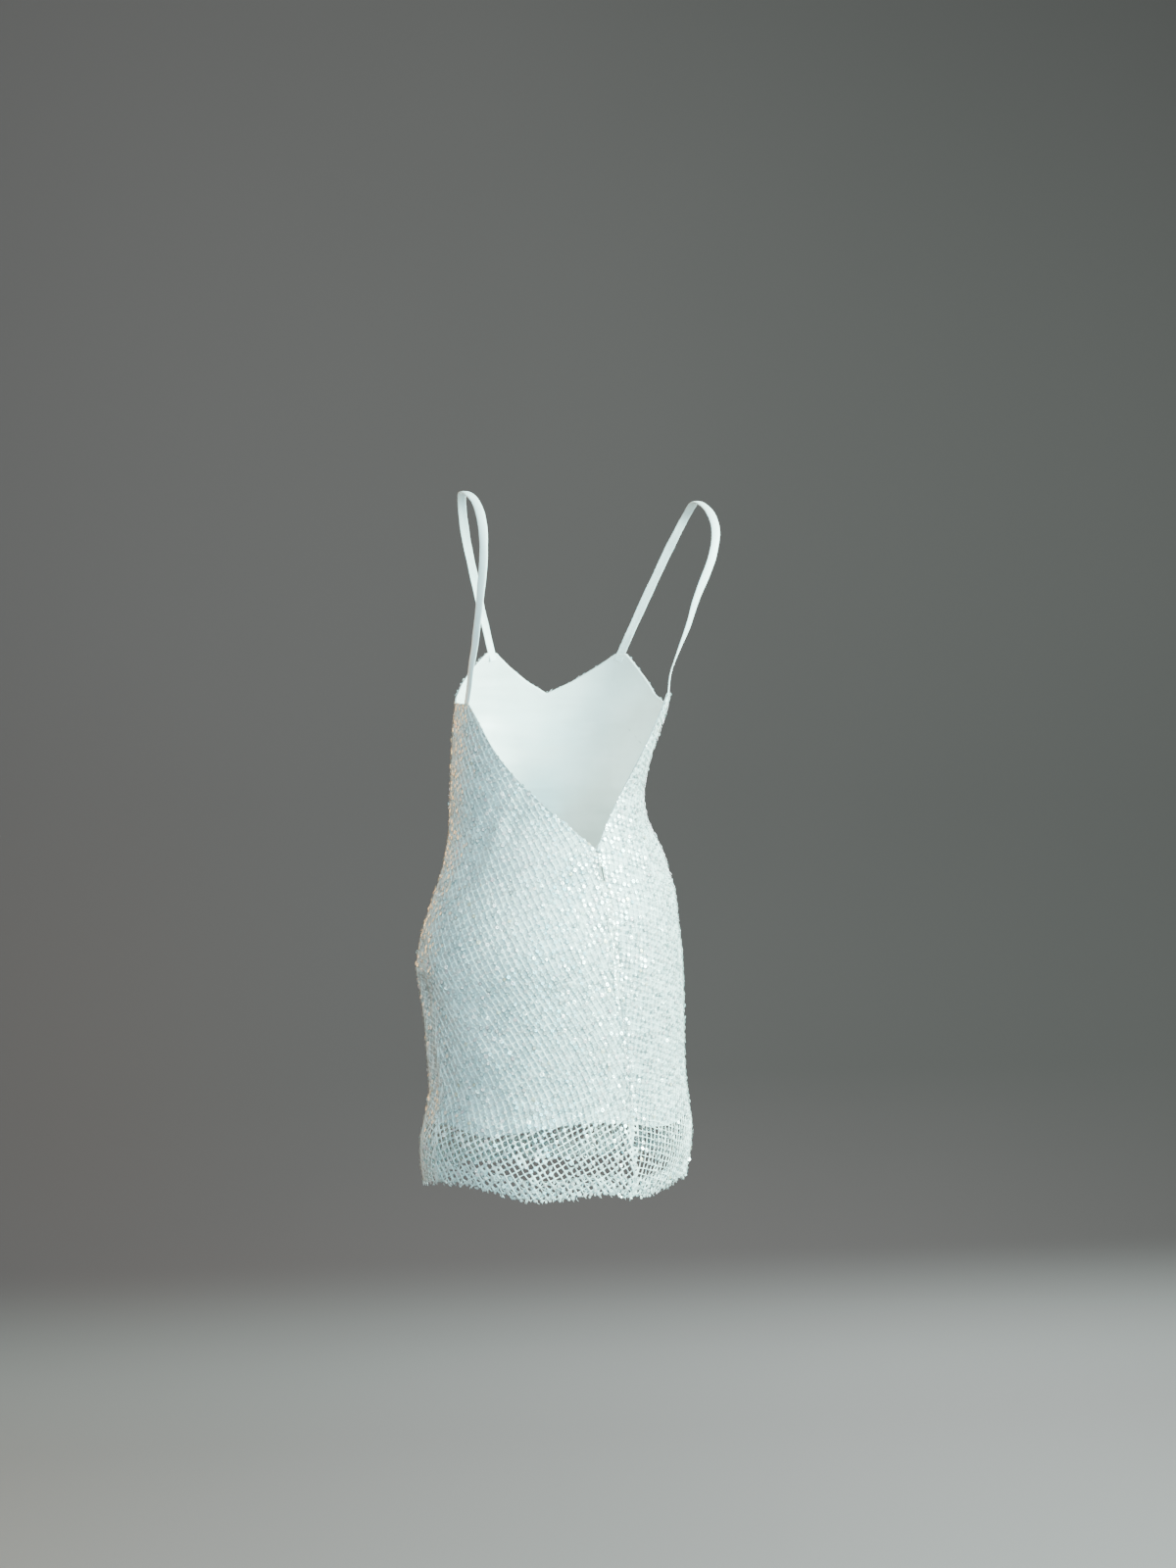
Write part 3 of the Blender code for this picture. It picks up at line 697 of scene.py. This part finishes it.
class Panel:
    """One net panel: its sheet of cloth, edges, grain and scattering."""

    def __init__(self, side, low, high, grain, band_hole, seed):
        self.side = side
        self.low = low
        self.high = high
        self.band_hole = band_hole
        self.grain = math.radians(grain)
        self.chance = np.random.default_rng(seed)
        self.sheet = Unrolled(0.5 * (low + high), 0.5 * (high - low) + 20.0)

    def lay(self, across, flat_height, out):
        """Puts flat cloth on the dress: held to the panel's seams and top edge, and
        turned up inside below the hem line."""
        angle = np.clip(self.sheet.angle(across, flat_height), self.low, self.high)
        hem = net_hem(angle)
        flat_height = np.clip(flat_height, hem - TURN_UP, top_edge(angle))
        height = hem + np.abs(flat_height - hem)
        parted = ramp(height - GAP_START, 0.010) * ZIP_GAP / GIRTH
        angle = np.clip(self.sheet.angle(across, height),
                        self.low + parted * (self.low == 0.0),
                        self.high - parted * (self.high == 0.0))
        height = np.minimum(height, top_edge(angle))
        out = out - FOLD_IN * ramp(hem - flat_height, 0.0015) - seam_dip(angle, height)
        return cloth(angle, height, out), angle, flat_height

    def inside(self, across, flat_height, margin=0.0):
        """True where a flat place lies on the panel, the turned hem included."""
        angle = self.sheet.angle(across, flat_height)
        girth = margin / GIRTH
        return ((angle > self.low + girth) & (angle < self.high - girth)
                & (flat_height > net_hem(angle) - TURN_UP + margin)
                & (flat_height < top_edge(angle) - margin))

    def knots(self):
        """Flat places of the net's knots: a square lattice along the grain, each
        knot a little out of place, the whole slightly waved."""
        k = np.arange(-NET_COUNT, NET_COUNT + 1) * NET_PITCH
        u, v = np.meshgrid(k, k, indexing="ij")
        u = u + NET_WAVE * np.sin(v * 21.0) + self.chance.normal(0.0, KNOT_STRAY, u.shape)
        v = (v + NET_WAVE * np.sin(u * 17.0 + 1.0)
             + self.chance.normal(0.0, KNOT_STRAY, v.shape))
        across = u * np.cos(self.grain) - v * np.sin(self.grain)
        height = u * np.sin(self.grain) + v * np.cos(self.grain) + NET_MIDDLE
        return across, height


def halfway(values, axis):
    """Middle of each pair of neighbours along one axis."""
    a = np.take(values, range(values.shape[axis] - 1), axis)
    b = np.take(values, range(1, values.shape[axis]), axis)
    return 0.5 * (a + b)


def hole_size(panel, across, height):
    """Share by which each hole is wide: a spread, a few nearly closed, wider in the
    hem band, and narrowing to thick strands beside the panel's edges."""
    wide = panel.chance.normal(1.0, 0.09, across.shape)
    wide = np.where(panel.chance.random(across.shape) < 0.05, 0.55 * wide, wide)
    wide = wide * np.where(height < BAND_HOLES, panel.band_hole, 1.0)
    angle = panel.sheet.angle(across, height)
    border = np.minimum(angle - panel.low, panel.high - angle) * GIRTH
    border = np.minimum(border, top_edge(angle) - height)
    allowed = np.where(height < BAND_EDGES, 0.0025, 0.0004)
    return wide * (0.35 + 0.65 * ramp(border - allowed, 0.0014))


def net_piece(panel):
    """Net as one sheet with a rounded hole in every cell: ridge points along the
    lattice lines, shared between cells, and eight hole points inside each cell."""
    across, height = panel.knots()
    n, m = across.shape
    ridge = ((across, height, KNOT_OUT),
             (halfway(across, 0), halfway(height, 0), STRAND_OUT),
             (halfway(across, 1), halfway(height, 1), STRAND_OUT))
    i, j = np.meshgrid(np.arange(n - 1), np.arange(m - 1), indexing="ij")
    first_u = n * m
    first_v = first_u + (n - 1) * m
    first_hole = first_v + n * (m - 1)
    ring = np.stack([
        i * m + j, first_u + i * m + j, (i + 1) * m + j,
        first_v + (i + 1) * (m - 1) + j, (i + 1) * m + j + 1,
        first_u + i * m + j + 1, i * m + j + 1, first_v + i * (m - 1) + j],
        axis=-1).reshape(-1, 8)
    flat_u = np.concatenate([part[0].ravel() for part in ridge])
    flat_v = np.concatenate([part[1].ravel() for part in ridge])
    out = np.concatenate([np.full(part[0].size, part[2]) for part in ridge])
    ring = ring[panel.inside(flat_u, flat_v)[ring].any(axis=1)]
    centre_u = flat_u[ring].mean(axis=1, keepdims=True)
    centre_v = flat_v[ring].mean(axis=1, keepdims=True)
    shrink = np.array([HOLE_CORNER, HOLE_LONG, HOLE_CORNER, HOLE_WIDE] * 2)
    shrink = np.clip(shrink * hole_size(panel, centre_u, centre_v), 0.2, 0.86)
    hole_u = centre_u + shrink * (flat_u[ring] - centre_u)
    hole_v = centre_v + shrink * (flat_v[ring] - centre_v)
    hole = np.arange(ring.size).reshape(-1, 8) + first_hole
    step = np.roll(np.arange(8), -1)
    faces = np.stack([ring, ring[:, step], hole[:, step], hole], axis=-1).reshape(-1, 4)
    used, faces = np.unique(faces, return_inverse=True)
    faces = faces.reshape(-1, 4)
    flat_u = np.concatenate([flat_u, hole_u.ravel()])[used]
    flat_v = np.concatenate([flat_v, hole_v.ravel()])[used]
    out = np.concatenate([out, np.full(hole.size, HOLE_OUT)])[used]
    points, angle, flat_height = panel.lay(flat_u, flat_v, out)
    diagonal = np.cross(points[faces[:, 2]] - points[faces[:, 0]],
                        points[faces[:, 3]] - points[faces[:, 1]])
    whole = 0.5 * np.linalg.norm(diagonal, axis=1) > 2e-9
    faces = faces[whole]
    corner = faces[:, 0]
    facing = (diagonal[whole] * outward(angle[corner], points[corner, 2])).sum(axis=1)
    if np.median(facing) < 0.0:
        faces = faces[:, ::-1]
    return make_piece(panel.side + "_net_visual", points, faces, NET_THREAD,
                      (flat_u, flat_height),
                      # these marks feed the net's painted highlight at the top edge and its
                      # painted shadow line at centre back
                      {"edge": top_edge(angle) - points[:, 2],
                       "seam_shadow": np.abs(wrap(angle)) * GIRTH,
                       "shown": back_line(points[:, 2])}, panel.side + "_net")


def rim_row(panel, edge, low, high, flat_level):
    """Sequins caught along one edge of a panel: one for each step of angle, from
    low to high above the edge, their flat places in a row of their own."""
    chance = panel.chance
    count = int((panel.high - panel.low - 2.0) / RIM_STEP)
    angle = panel.low + 1.0 + RIM_STEP * (np.arange(count) + chance.random(count))
    level = edge(angle) + chance.uniform(low, high, count)
    centre = cloth(angle, level, chance.uniform(-0.0002, 0.0009, count))
    flat = np.stack([(np.arange(count) - 0.5 * count) * 0.0062,
                     np.full(count, flat_level)], axis=-1)
    return centre, outward(angle, level), flat


def seam_row(panel):
    """Sequins beside the line at centre back: one for each small step of height,
    further from it where the line shows, over the line's edge elsewhere."""
    chance = panel.chance
    level = np.arange(BAND_SEQUINS[1], -0.414, 0.0036)
    count = len(level)
    level = level + chance.uniform(-0.0012, 0.0012, count)
    away = chance.uniform(0.0012, 0.0040, count) + 0.0022 * (back_line(level) > LINE_SHOWS)
    angle = away / GIRTH * (1.0 if panel.low == 0.0 else -1.0)
    centre = cloth(angle, level, chance.uniform(0.0002, 0.0009, count))
    flat = np.stack([level + 0.5, np.full(count, -0.870)], axis=-1)
    return centre, outward(angle, level), flat


def sequin_piece(panel):
    """Sequins sewn at the knots, along the top edge, beside centre back and over
    the hem, most of them flat.  Each is a profile of radius and rise turned about
    its own normal: a shallow cup with a hole."""
    chance = panel.chance
    across, height = (flat.ravel() for flat in panel.knots())
    sewn = panel.inside(across, height, SEQUIN_STRAY)
    banded = (height > BAND_SEQUINS[0]) & (height < BAND_SEQUINS[1])
    sewn &= chance.random(len(across)) < np.where(banded, BAND_SHARE, SEQUIN_SHARE)
    near = np.abs(panel.sheet.angle(across, height)) * GIRTH
    sewn &= near > np.where(back_line(height) > LINE_SHOWS, 0.0040, 0.0006)
    across, height = across[sewn], height[sewn]
    knotted = len(across)
    across = across + chance.normal(0.0, SEQUIN_STRAY, knotted)
    height = height + chance.normal(0.0, SEQUIN_STRAY, knotted)
    lift = chance.uniform(0.0003, 0.0011, knotted)
    centre, angle, flat_height = panel.lay(across, height, lift)
    normal = outward(angle, centre[:, 2])
    folded = (flat_height < net_hem(angle))[:, None]
    normal = np.where(folded, -normal, normal)
    centre = centre + np.where(folded, FOLD_IN, 0.0) * normal
    top = rim_row(panel, top_edge, -0.0004, 0.0010, -0.160)
    hem = rim_row(panel, net_hem, -0.0012, 0.0014, -0.850)
    seam = seam_row(panel) if panel.side.startswith("back") else [part[:0] for part in hem]
    flat = np.stack([across, flat_height], axis=-1)
    centre, normal, flat = (np.concatenate([body, seam[k], top[k], hem[k]])
                            for k, body in enumerate((centre, normal, flat)))
    count = len(centre)
    at_knot = np.arange(count) < knotted
    lean = chance.normal(0.0, 0.13, (count, 3))
    lean *= np.where(chance.random((count, 1)) < 0.12, 2.6, 1.0)
    lean *= np.where(at_knot, 1.0, 2.0)[:, None]
    normal = unit(normal + lean)
    radius = SEQUIN_RADIUS * chance.uniform(0.82, 1.08, count)
    radius = (radius * np.where(at_knot, 1.0, RIM_SEQUIN))[:, None, None]
    tint = chance.random(count)[:, None, None]
    spin = chance.uniform(0.0, 6.28, count)[:, None, None]
    # shade: how strongly painted shade darkens each sequin's rim, and how clear the sequin is
    shade = (chance.random(count) ** 1.3)[:, None, None]
    side = unit(np.cross(normal, np.array([0.0, 0.0, 1.0]) + 1e-3))
    ways = [way[:, None, None] for way in (side, np.cross(normal, side), normal)]
    corners = 10
    bearing = spin + full_turn(corners)
    share, rise = np.array(SEQUIN_PROFILE).T[..., None]
    u = radius * share * np.cos(bearing)
    v = radius * share * np.sin(bearing)
    points = reach(centre[:, None, None], ways, (u, v, rise * radius))
    flat = flat[:, None, None]
    return make_piece(panel.side + "_sequins", points,
                      tube_faces(count, len(SEQUIN_PROFILE), corners), SEQUIN_FILM,
                      (flat[..., 0] + u, flat[..., 1] + v),
                      {"tint": tint, "shade": shade, "rim": share})


def thread_piece(panel):
    """Loose thread ends below the hem and a few above the top edge: each a fine
    round thread on a bent line, thinner to its tip and closed at both ends."""
    chance = panel.chance
    count = int((panel.high - panel.low) * 0.5)
    angle = chance.uniform(panel.low + 1.0, panel.high - 1.0, count)
    rising = chance.random(count) < 0.15
    length = chance.uniform(0.0020, 0.0056, count)
    if panel.side == "back_right":
        angle[:5] = (-0.5, -1.2, -2.0, -2.9, -4.0)
        rising[:5] = True
        length[:5] = (0.0040, 0.0045, 0.0040, 0.0035, 0.0030)
    up = np.where(rising, 1.0, -1.0)[:, None]
    length = np.where(rising, np.minimum(length, 0.0045), length)[:, None]
    level = np.where(rising, top_edge(angle), net_hem(angle)) - 0.0010 * up[:, 0]
    normal = outward(angle, level)
    side = unit(np.cross(normal, [0.0, 0.0, 1.0]))
    way = unit(up * [0.0, 0.0, 1.0] + side * chance.normal(0.0, 0.5, (count, 1))
               + normal * chance.uniform(-0.1, 0.35, (count, 1)))
    first = unit(np.cross(way, normal))
    second = np.cross(way, first)
    along = np.array([0.0, 0.0, 0.2, 0.4, 0.6, 0.8, 1.0, 1.0])
    radius = THREAD_RADIUS * np.array([0.0, 1.0, 1.0, 1.0, 0.9, 0.8, 0.6, 0.0])[:, None]
    curl = np.sin(along * chance.uniform(1.5, 5.0, (count, 1)))
    path = reach(cloth(angle, level, -0.0002)[:, None], (way[:, None], first[:, None]),
                 (length * along, 0.22 * length * curl))
    bearing = full_turn(5)
    points = reach(path[:, :, None], (first[:, None, None], second[:, None, None]),
                   (radius * np.cos(bearing), radius * np.sin(bearing)))
    return make_piece(panel.side + "_threads", points, tube_faces(count, len(along), 5),
                      NET_THREAD, None, {"edge": 0.0, "seam_shadow": 1.0, "shown": 0.0})


def rim_faces(levels, rolled, turned, columns):
    """Faces closing a folded sheet's two side edges: each outer row joined to the
    inner row at the same height, round the rolled top and the folded hem."""
    count = 2 * levels + rolled + turned
    up = np.arange(levels + rolled // 2)
    down = np.arange(turned // 2)
    outer = np.concatenate([up, count - 1 - down])
    inner = np.concatenate([2 * levels + rolled - 1 - up, 2 * levels + rolled + down])
    order = np.argsort(np.where(outer < levels + rolled, outer, outer - count))
    a, b = outer[order], inner[order]
    strip = np.stack([a[:-1], a[1:], b[1:], b[:-1]], axis=-1) * columns
    return np.concatenate([strip[:, ::-1], strip + columns - 1])


def lining_piece(side, low, high, zip_low, zip_high):
    """Lining as one closed shell: outer face up, over the rolled top edge, inner
    face down and round the folded hem."""
    columns = int(round((high - low) / 1.5)) + 1
    share = np.linspace(0.0, 1.0, columns)[None, :]
    flat_angle = low + (high - low) * share
    top, hem = top_edge(flat_angle), lining_hem(flat_angle)
    levels = 96
    face = hem + (top - 0.0025 - hem) * np.linspace(0.0, 1.0, levels)[:, None]
    height = np.concatenate([face, top + LINING_ROLL[:, :1], face[::-1],
                             hem + LINING_TURN[:, :1]])
    depth = np.concatenate([np.full(levels, LINING_OUT), LINING_ROLL[:, 1],
                            np.full(levels, LINING_IN), LINING_TURN[:, 1]])[:, None]
    opened = ramp(height - ZIP_END, 0.006) * np.degrees(ZIP_SET_BACK / BACK_RADIUS)
    opened = opened * (1.0 - ramp(height - top + 0.004, 0.004))
    first = low + (opened if zip_low else 0.0) + 0.03
    last = high - (opened if zip_high else 0.0) - 0.03
    angle = first + (last - first) * share
    flutter = 0.0010 * np.sin(angle * 0.21) * ramp(lining_hem(angle) + 0.05 - height, 0.05)
    points = cloth(angle, height, np.minimum(flutter, 0.0) - depth)
    faces = np.concatenate([
        grid_faces(len(height), columns, close_rows=True),
        rim_faces(levels, len(LINING_ROLL), len(LINING_TURN), columns)])
    return make_piece(
        side + "_lining_visual", points, faces[:, ::-1], LINING_SATIN,
        (share, np.arange(len(height))[:, None] * 0.001),
        {"below": top - height, "above": height - hem,
         "inner": depth > 0.5 * (LINING_OUT + LINING_IN),
         "aside": np.minimum(share, 1.0 - share) * (high - low) * GIRTH,
         "along": flat_angle * GIRTH, "dart": dart_away(angle, height)[0]},
        side + "_lining")


def strap_root(side, angles):
    """Middle of a strap's root on the level edge and the way the edge faces."""
    ends = side * np.array(angles)
    level = top_edge(ends)
    middle = cloth(ends, level, -0.00125).mean(axis=0)
    middle[2] = level[0] + 0.0003
    face = outward(ends, level).sum(axis=0)
    return middle, np.degrees(np.arctan2(face[1], face[0]))


def strap_piece(name, side, table):
    """Flat strap: a long rounded section carried from inside the back edge over
    the shoulder to inside the front edge."""
    start, start_way = strap_root(side, STRAP_AT_BACK)
    end, end_way = strap_root(side, STRAP_AT_FRONT)
    low = start - STRAP_SEWN * unit(table[0, :3] - start)
    last = end - STRAP_SEWN * unit(table[-1, :3] - end)
    line = np.vstack([low, start, table[:, :3], end, last])
    ways = np.unwrap(np.radians(np.concatenate([[start_way] * 2, table[:, 3],
                                                [end_way] * 2])))
    tips = np.radians(np.concatenate([[0.0] * 2, table[:, 4], [0.0] * 2]))
    faces = np.stack([np.cos(ways) * np.cos(tips), np.sin(ways) * np.cos(tips),
                      np.sin(tips)], axis=-1)
    marks = np.concatenate([[0.0], np.cumsum(np.linalg.norm(np.diff(line, axis=0), axis=1))])
    at = np.linspace(0.0, marks[-1], 150)
    middle, face = (np.stack([curve(at, marks, values[:, k]) for k in range(3)], axis=-1)
                    for values in (line, faces))
    tangent = unit(np.gradient(middle, axis=0))
    face = unit(face - tangent * (face * tangent).sum(axis=1, keepdims=True))
    across = np.cross(tangent, face)
    at = at[:, None]
    bearing = full_turn(24)
    share = blunt(np.cos(bearing), 0.55)
    pinch = 1.0 + 0.03 * np.sin(at * 90.0) + 0.02 * np.sin(at * 210.0 + 1.0)
    u = share * STRAP_WIDTH / 2.0 * pinch
    w = blunt(np.sin(bearing), 0.75) * STRAP_THICK / 2.0 - 0.0005 * share ** 2
    w = w + 0.00025 * np.sin(at * 140.0)
    points = reach(middle[:, None], (across[:, None], face[:, None]), (u, w))
    return make_piece(name + "_visual", points, tube_faces(1, len(at), 24), STRAP_SATIN,
                      (bearing * 0.004, at), {"across": u, "along": at}, name)


def tape_piece(name, side):
    """Zip tape: a thin closed strip beside centre back, from the zip's end up."""
    near, far, bevel = 0.00015, 0.0057, 0.0004
    depth_out, depth_in = 0.0015, 0.0023
    height = np.linspace(ZIP_END + 0.001, top_edge(0.0) - 0.003, 60)[:, None]
    across = np.array([near, near + bevel, far - bevel, far,
                       far, far - bevel, near + bevel, near])
    depth = np.array([depth_out] * 3 + [depth_out + 0.0002, depth_in - 0.0002]
                     + [depth_in] * 3)
    points = cloth(side * across / per_degree(height), height, -depth)
    return make_piece(name + "_visual", points, tube_faces(1, 60, 8)[:, ::side], WOVEN_TAPE,
                      (np.arange(8) * 0.004, height), None, name)


def zip_teeth(name, side):
    """Coil of the zip: small rounded loops along each tape's edge, inside."""
    pitch, wire = 0.0011, 0.00032
    height = np.arange(ZIP_END + 0.003, top_edge(0.0) - 0.006, pitch)
    height = (height + (0.0 if side > 0 else 0.5 * pitch))[:, None, None]
    along = np.linspace(0.0, 1.0, 5)[:, None]
    away = 0.0004 + 0.0022 * along
    lift = 0.0026 + 0.0008 * np.sin(np.pi * along)
    bearing = full_turn(6)
    up = height + wire * np.sin(bearing)
    points = cloth(side * away / per_degree(height), up, -(lift + wire * np.cos(bearing)))
    return make_piece(name, points, tube_faces(len(height), 5, 6), TEETH_NYLON,
                      (away, up))


def zip_frame():
    """Middle point and the across, up and out ways of the cloth at the slider."""
    up = unit(dress_point(0.0, SLIDER_HEIGHT + 0.004) - dress_point(0.0, SLIDER_HEIGHT - 0.004))
    out = outward(0.0, SLIDER_HEIGHT)
    out = unit(out - up * np.dot(out, up))
    return dress_point(0.0, SLIDER_HEIGHT), np.cross(up, out), up, out


def loop_solid(name, path, wide, thick, base, ways, finish, body="dress"):
    """Closed bar of rounded section carried round a closed path in one plane."""
    tangent = unit(np.roll(path, -1, axis=0) - np.roll(path, 1, axis=0))
    side = np.stack([tangent[:, 1], -tangent[:, 0]], axis=-1)[:, None]
    bearing = full_turn(10)[:, None]
    spot = np.cos(bearing) * side * wide / 2.0 + path[:, None]
    level = np.sin(bearing[:, 0]) * thick / 2.0
    points = reach(base, ways, (spot[..., 0], spot[..., 1], level))
    faces = grid_faces(len(path), 10, close_rows=True, close_columns=True)
    return make_piece(name, points, faces, finish, body=body)


def plate_solid(name, outline, low, high, base, ways, finish, node, body="dress"):
    """Closed plate: rings of the outline shrunk and raised over a crowned face."""
    crown, bevel = 0.0001, 0.0001
    rings = np.array([
        # share and level
        (0.0, low), (0.80, low), (0.97, low + bevel), (1.0, 0.5 * (low + high)),
        (0.95, high - bevel), (0.75, high + 0.5 * crown), (0.0, high + crown)])
    middle = outline.mean(axis=0)
    spot = middle + rings[:, :1, None] * (outline - middle)
    points = reach(base, ways, (spot[..., 0], spot[..., 1], rings[:, 1:]))
    return make_piece(name, points, tube_faces(1, len(rings), len(outline)), finish,
                      None, {"aside": spot[..., 0] - middle[0], "run": spot[..., 1]},
                      node, body)


def zip_hardware():
    """Slider with its bridge, and the pull tab with its eye."""
    base, across, up, out = zip_frame()
    turn = full_turn(32)
    plate_solid("zip_slider_visual", rounded_box(turn, 0.0020, 0.0036, 0.6), 0.0004, 0.0014,
                base, (across, up, out), SLIDER_ENAMEL, "zip_slider")
    arch = rounded_box(turn, 0.0025, 0.0014, 0.7) + (0.0, 0.0024)
    loop_solid("zip_bridge", arch, 0.0008, 0.0011, base, (up, out, across),
               SLIDER_ENAMEL)
    pivot = base + PIVOT_ALONG * up + PIVOT_OUT * out
    lean = math.radians(PULL_TILT)
    ways = (across, up * math.cos(lean) + out * math.sin(lean),
            out * math.cos(lean) - up * math.sin(lean))
    eye = rounded_box(turn, 0.00145, 0.0018, 0.6) + (0.0, -0.0015)
    loop_solid("zip_pull_eye", eye, 0.0009, 0.0009, pivot, ways, PULL_ENAMEL,
               "zip_pull")
    run = np.linspace(-0.0030, -0.0215, 20)
    half = np.interp(run, [-0.0215, -0.0210, -0.0195, -0.0150, -0.0080, -0.0030],
                     [0.0004, 0.0012, 0.0019, 0.0018, 0.0015, 0.0017])
    outline = np.concatenate([np.stack([half, run], axis=-1),
                              np.stack([-half, run], axis=-1)[::-1]])
    plate_solid("zip_pull_visual", outline, -0.00045, 0.00035, pivot, ways, PULL_ENAMEL,
                "zip_pull", "zip_pull")


for panel, flat, area in (
        (Panel("back_left", 0.0, 90.0, -25.0, 1.11, 11), (0.27, 0.58), 0.1125),
        (Panel("back_right", -90.0, 0.0, 17.0, 1.28, 12), (0.25, 0.59), 0.1145),
        (Panel("front", 90.0, 270.0, 17.0, 1.11, 13), (0.47, 0.64), 0.249)):
    net = net_piece(panel)
    sewn_on = [sequin_piece(panel), thread_piece(panel)]
for side, low, high, flat, area, ends in (
        ("back_left", 0.0, 90.0, (0.27, 0.49), 0.087, (True, False)),
        ("back_right", -90.0, 0.0, (0.25, 0.50), 0.089, (False, True)),
        ("front", 90.0, 270.0, (0.46, 0.55), 0.206, (False, False))):
    lining = lining_piece(side, low, high, *ends)
for name, side, table in (("strap_left", 1, LEFT_STRAP), ("strap_right", -1, RIGHT_STRAP)):
    strap_piece(name, side, table)
for name, side in (("left", 1), ("right", -1)):
    tape = tape_piece("zip_tape_" + name, side)
    teeth = zip_teeth("zip_teeth_" + name, side)
zip_hardware()


def stage_floor():
    """Plain pale floor curving up, in a quarter round, into a plain backdrop.  Its paint holds
    painted shade towards -X, where the key lamp lights it most, and painted light far off.
    """
    level, start, radius = -1.62, -1.6, 1.2
    bend = np.linspace(0.1, 1.0, 12) * np.pi / 2
    run = np.concatenate([np.linspace(9.0, start, 20), start - radius * np.sin(bend),
                          [start - radius]])
    rise = np.concatenate([np.full(20, level), level + radius - radius * np.cos(bend), [3.6]])
    points = np.stack(np.broadcast_arrays([-9.0, 9.0], run[:, None], rise[:, None]), axis=-1)
    floor = link_mesh("stage_floor", points, grid_faces(len(run), 2))
    paint = Finish("stage_paint", Roughness=0.9)
    shade = paint.limit(paint.noise(1.5, 2.0), 0.2, 0.8)
    # painted shade: the paint darkens towards -X, where the key lamp lights the backdrop most
    side = paint.limit(paint.axis(0) + 0.1 * shade, -1.6, 1.4)
    base = paint.blend(side, (0.037, 0.024, 0.026), (0.072, 0.047, 0.051))
    low = 1.0 - paint.limit(paint.axis(2), -1.61, -1.42)
    base = paint.blend(low, base, (0.150, 0.122, 0.128))
    # painted light: far off the paint turns pale, where the lamps no longer light it
    far = paint.node("ShaderNodeVectorMath", {"operation": "LENGTH"}, {0: paint.place()}, 1)
    base = paint.blend(paint.limit(far, 3.9, 5.4), base, (0.80, 0.80, 0.80))
    floor.data.materials.append(paint.feed(Base_Color=base))


def stand(name, data, side, rise, back, place):
    """A lamp or camera at a place, turned by its side, rising and backward ways."""
    made = bpy.data.objects.new(name, data)
    bpy.context.scene.collection.objects.link(made)
    made.matrix_world = Matrix(
        [(side[k], rise[k], back[k], place[k]) for k in range(3)] + [(0, 0, 0, 1)])
    return made


def lamp(name, place, aim, size, power, tone):
    """Soft square area light aimed at a point."""
    data = bpy.data.lights.new(name, "AREA")
    data.shape = "SQUARE"
    data.size = size
    data.energy = power
    data.color = tone
    back = unit(np.array(place, dtype=float) - np.array(aim, dtype=float))
    side = unit(np.cross([0.0, 0.0, 1.0], back))
    stand(name, data, side, np.cross(back, side), back, place)


def camera():
    """Camera behind the dress, a little to the wearer's left, level with the waist."""
    azimuth, tilt = math.radians(172.0), math.radians(-1.03)
    distance, aside, level = 2.57, 0.009, -0.291
    back = np.array([math.sin(azimuth), -math.cos(azimuth), 0.0])
    side = np.cross(-back, [0.0, 0.0, 1.0])
    ahead = -back * math.cos(tilt) + np.array([0.0, 0.0, math.sin(tilt)])
    place = back * distance + side * aside + np.array([0.0, 0.0, level])
    data = bpy.data.cameras.new("camera")
    data.lens = 50.0
    data.sensor_width = 36.0
    bpy.context.scene.camera = stand(
        "camera", data, side, np.cross(side, ahead), -ahead, place)


def studio():
    """Plain soft studio light: a broad key, a cool and a plain fill, a small one
    for the bodice, a warm edge, a front light and two small lamps for sparkle."""
    lamp("key", (-2.6, 1.25, 0.9), (0.0, 0.0, -0.5), 1.6, 800.0, (0.70, 1.0, 0.87))
    lamp("cool", (-0.8, 2.6, 0.0), (0.0, 0.0, -0.6), 0.8, 62.0, (0.10, 0.82, 1.0))
    lamp("fill", (0.0, 3.0, 1.1), (0.0, 0.0, -0.3), 1.2, 34.0, (0.78, 0.98, 1.0))
    lamp("bodice", (0.42, 1.10, 0.25), (0.07, 0.06, -0.30), 0.5, 11.0, (0.70, 1.0, 0.99))
    lamp("warm", (2.0, -1.9, 0.1), (1.4, 0.0, 0.1), 1.6, 40.0, (1.0, 0.54, 0.16))
    lamp("front", (-1.0, -2.6, 0.2), (-1.0, 0.0, 0.2), 1.4, 110.0, (0.90, 0.98, 1.0))
    lamp("sparkle_high", (0.7, 2.4, 1.3), (0.0, 0.0, -0.6), 0.10, 8.0, (1.0, 1.0, 1.0))
    lamp("sparkle_low", (1.5, 2.1, -0.4), (0.0, 0.0, -0.6), 0.10, 9.0, (1.0, 1.0, 1.0))
    world = bpy.data.worlds.new("studio_world")
    world.use_nodes = True
    around = world.node_tree.nodes["Background"].inputs
    around["Color"].default_value = (0.82, 0.86, 0.87, 1.0)
    around["Strength"].default_value = 0.20
    bpy.context.scene.world = world


stage_floor()
camera()
studio()
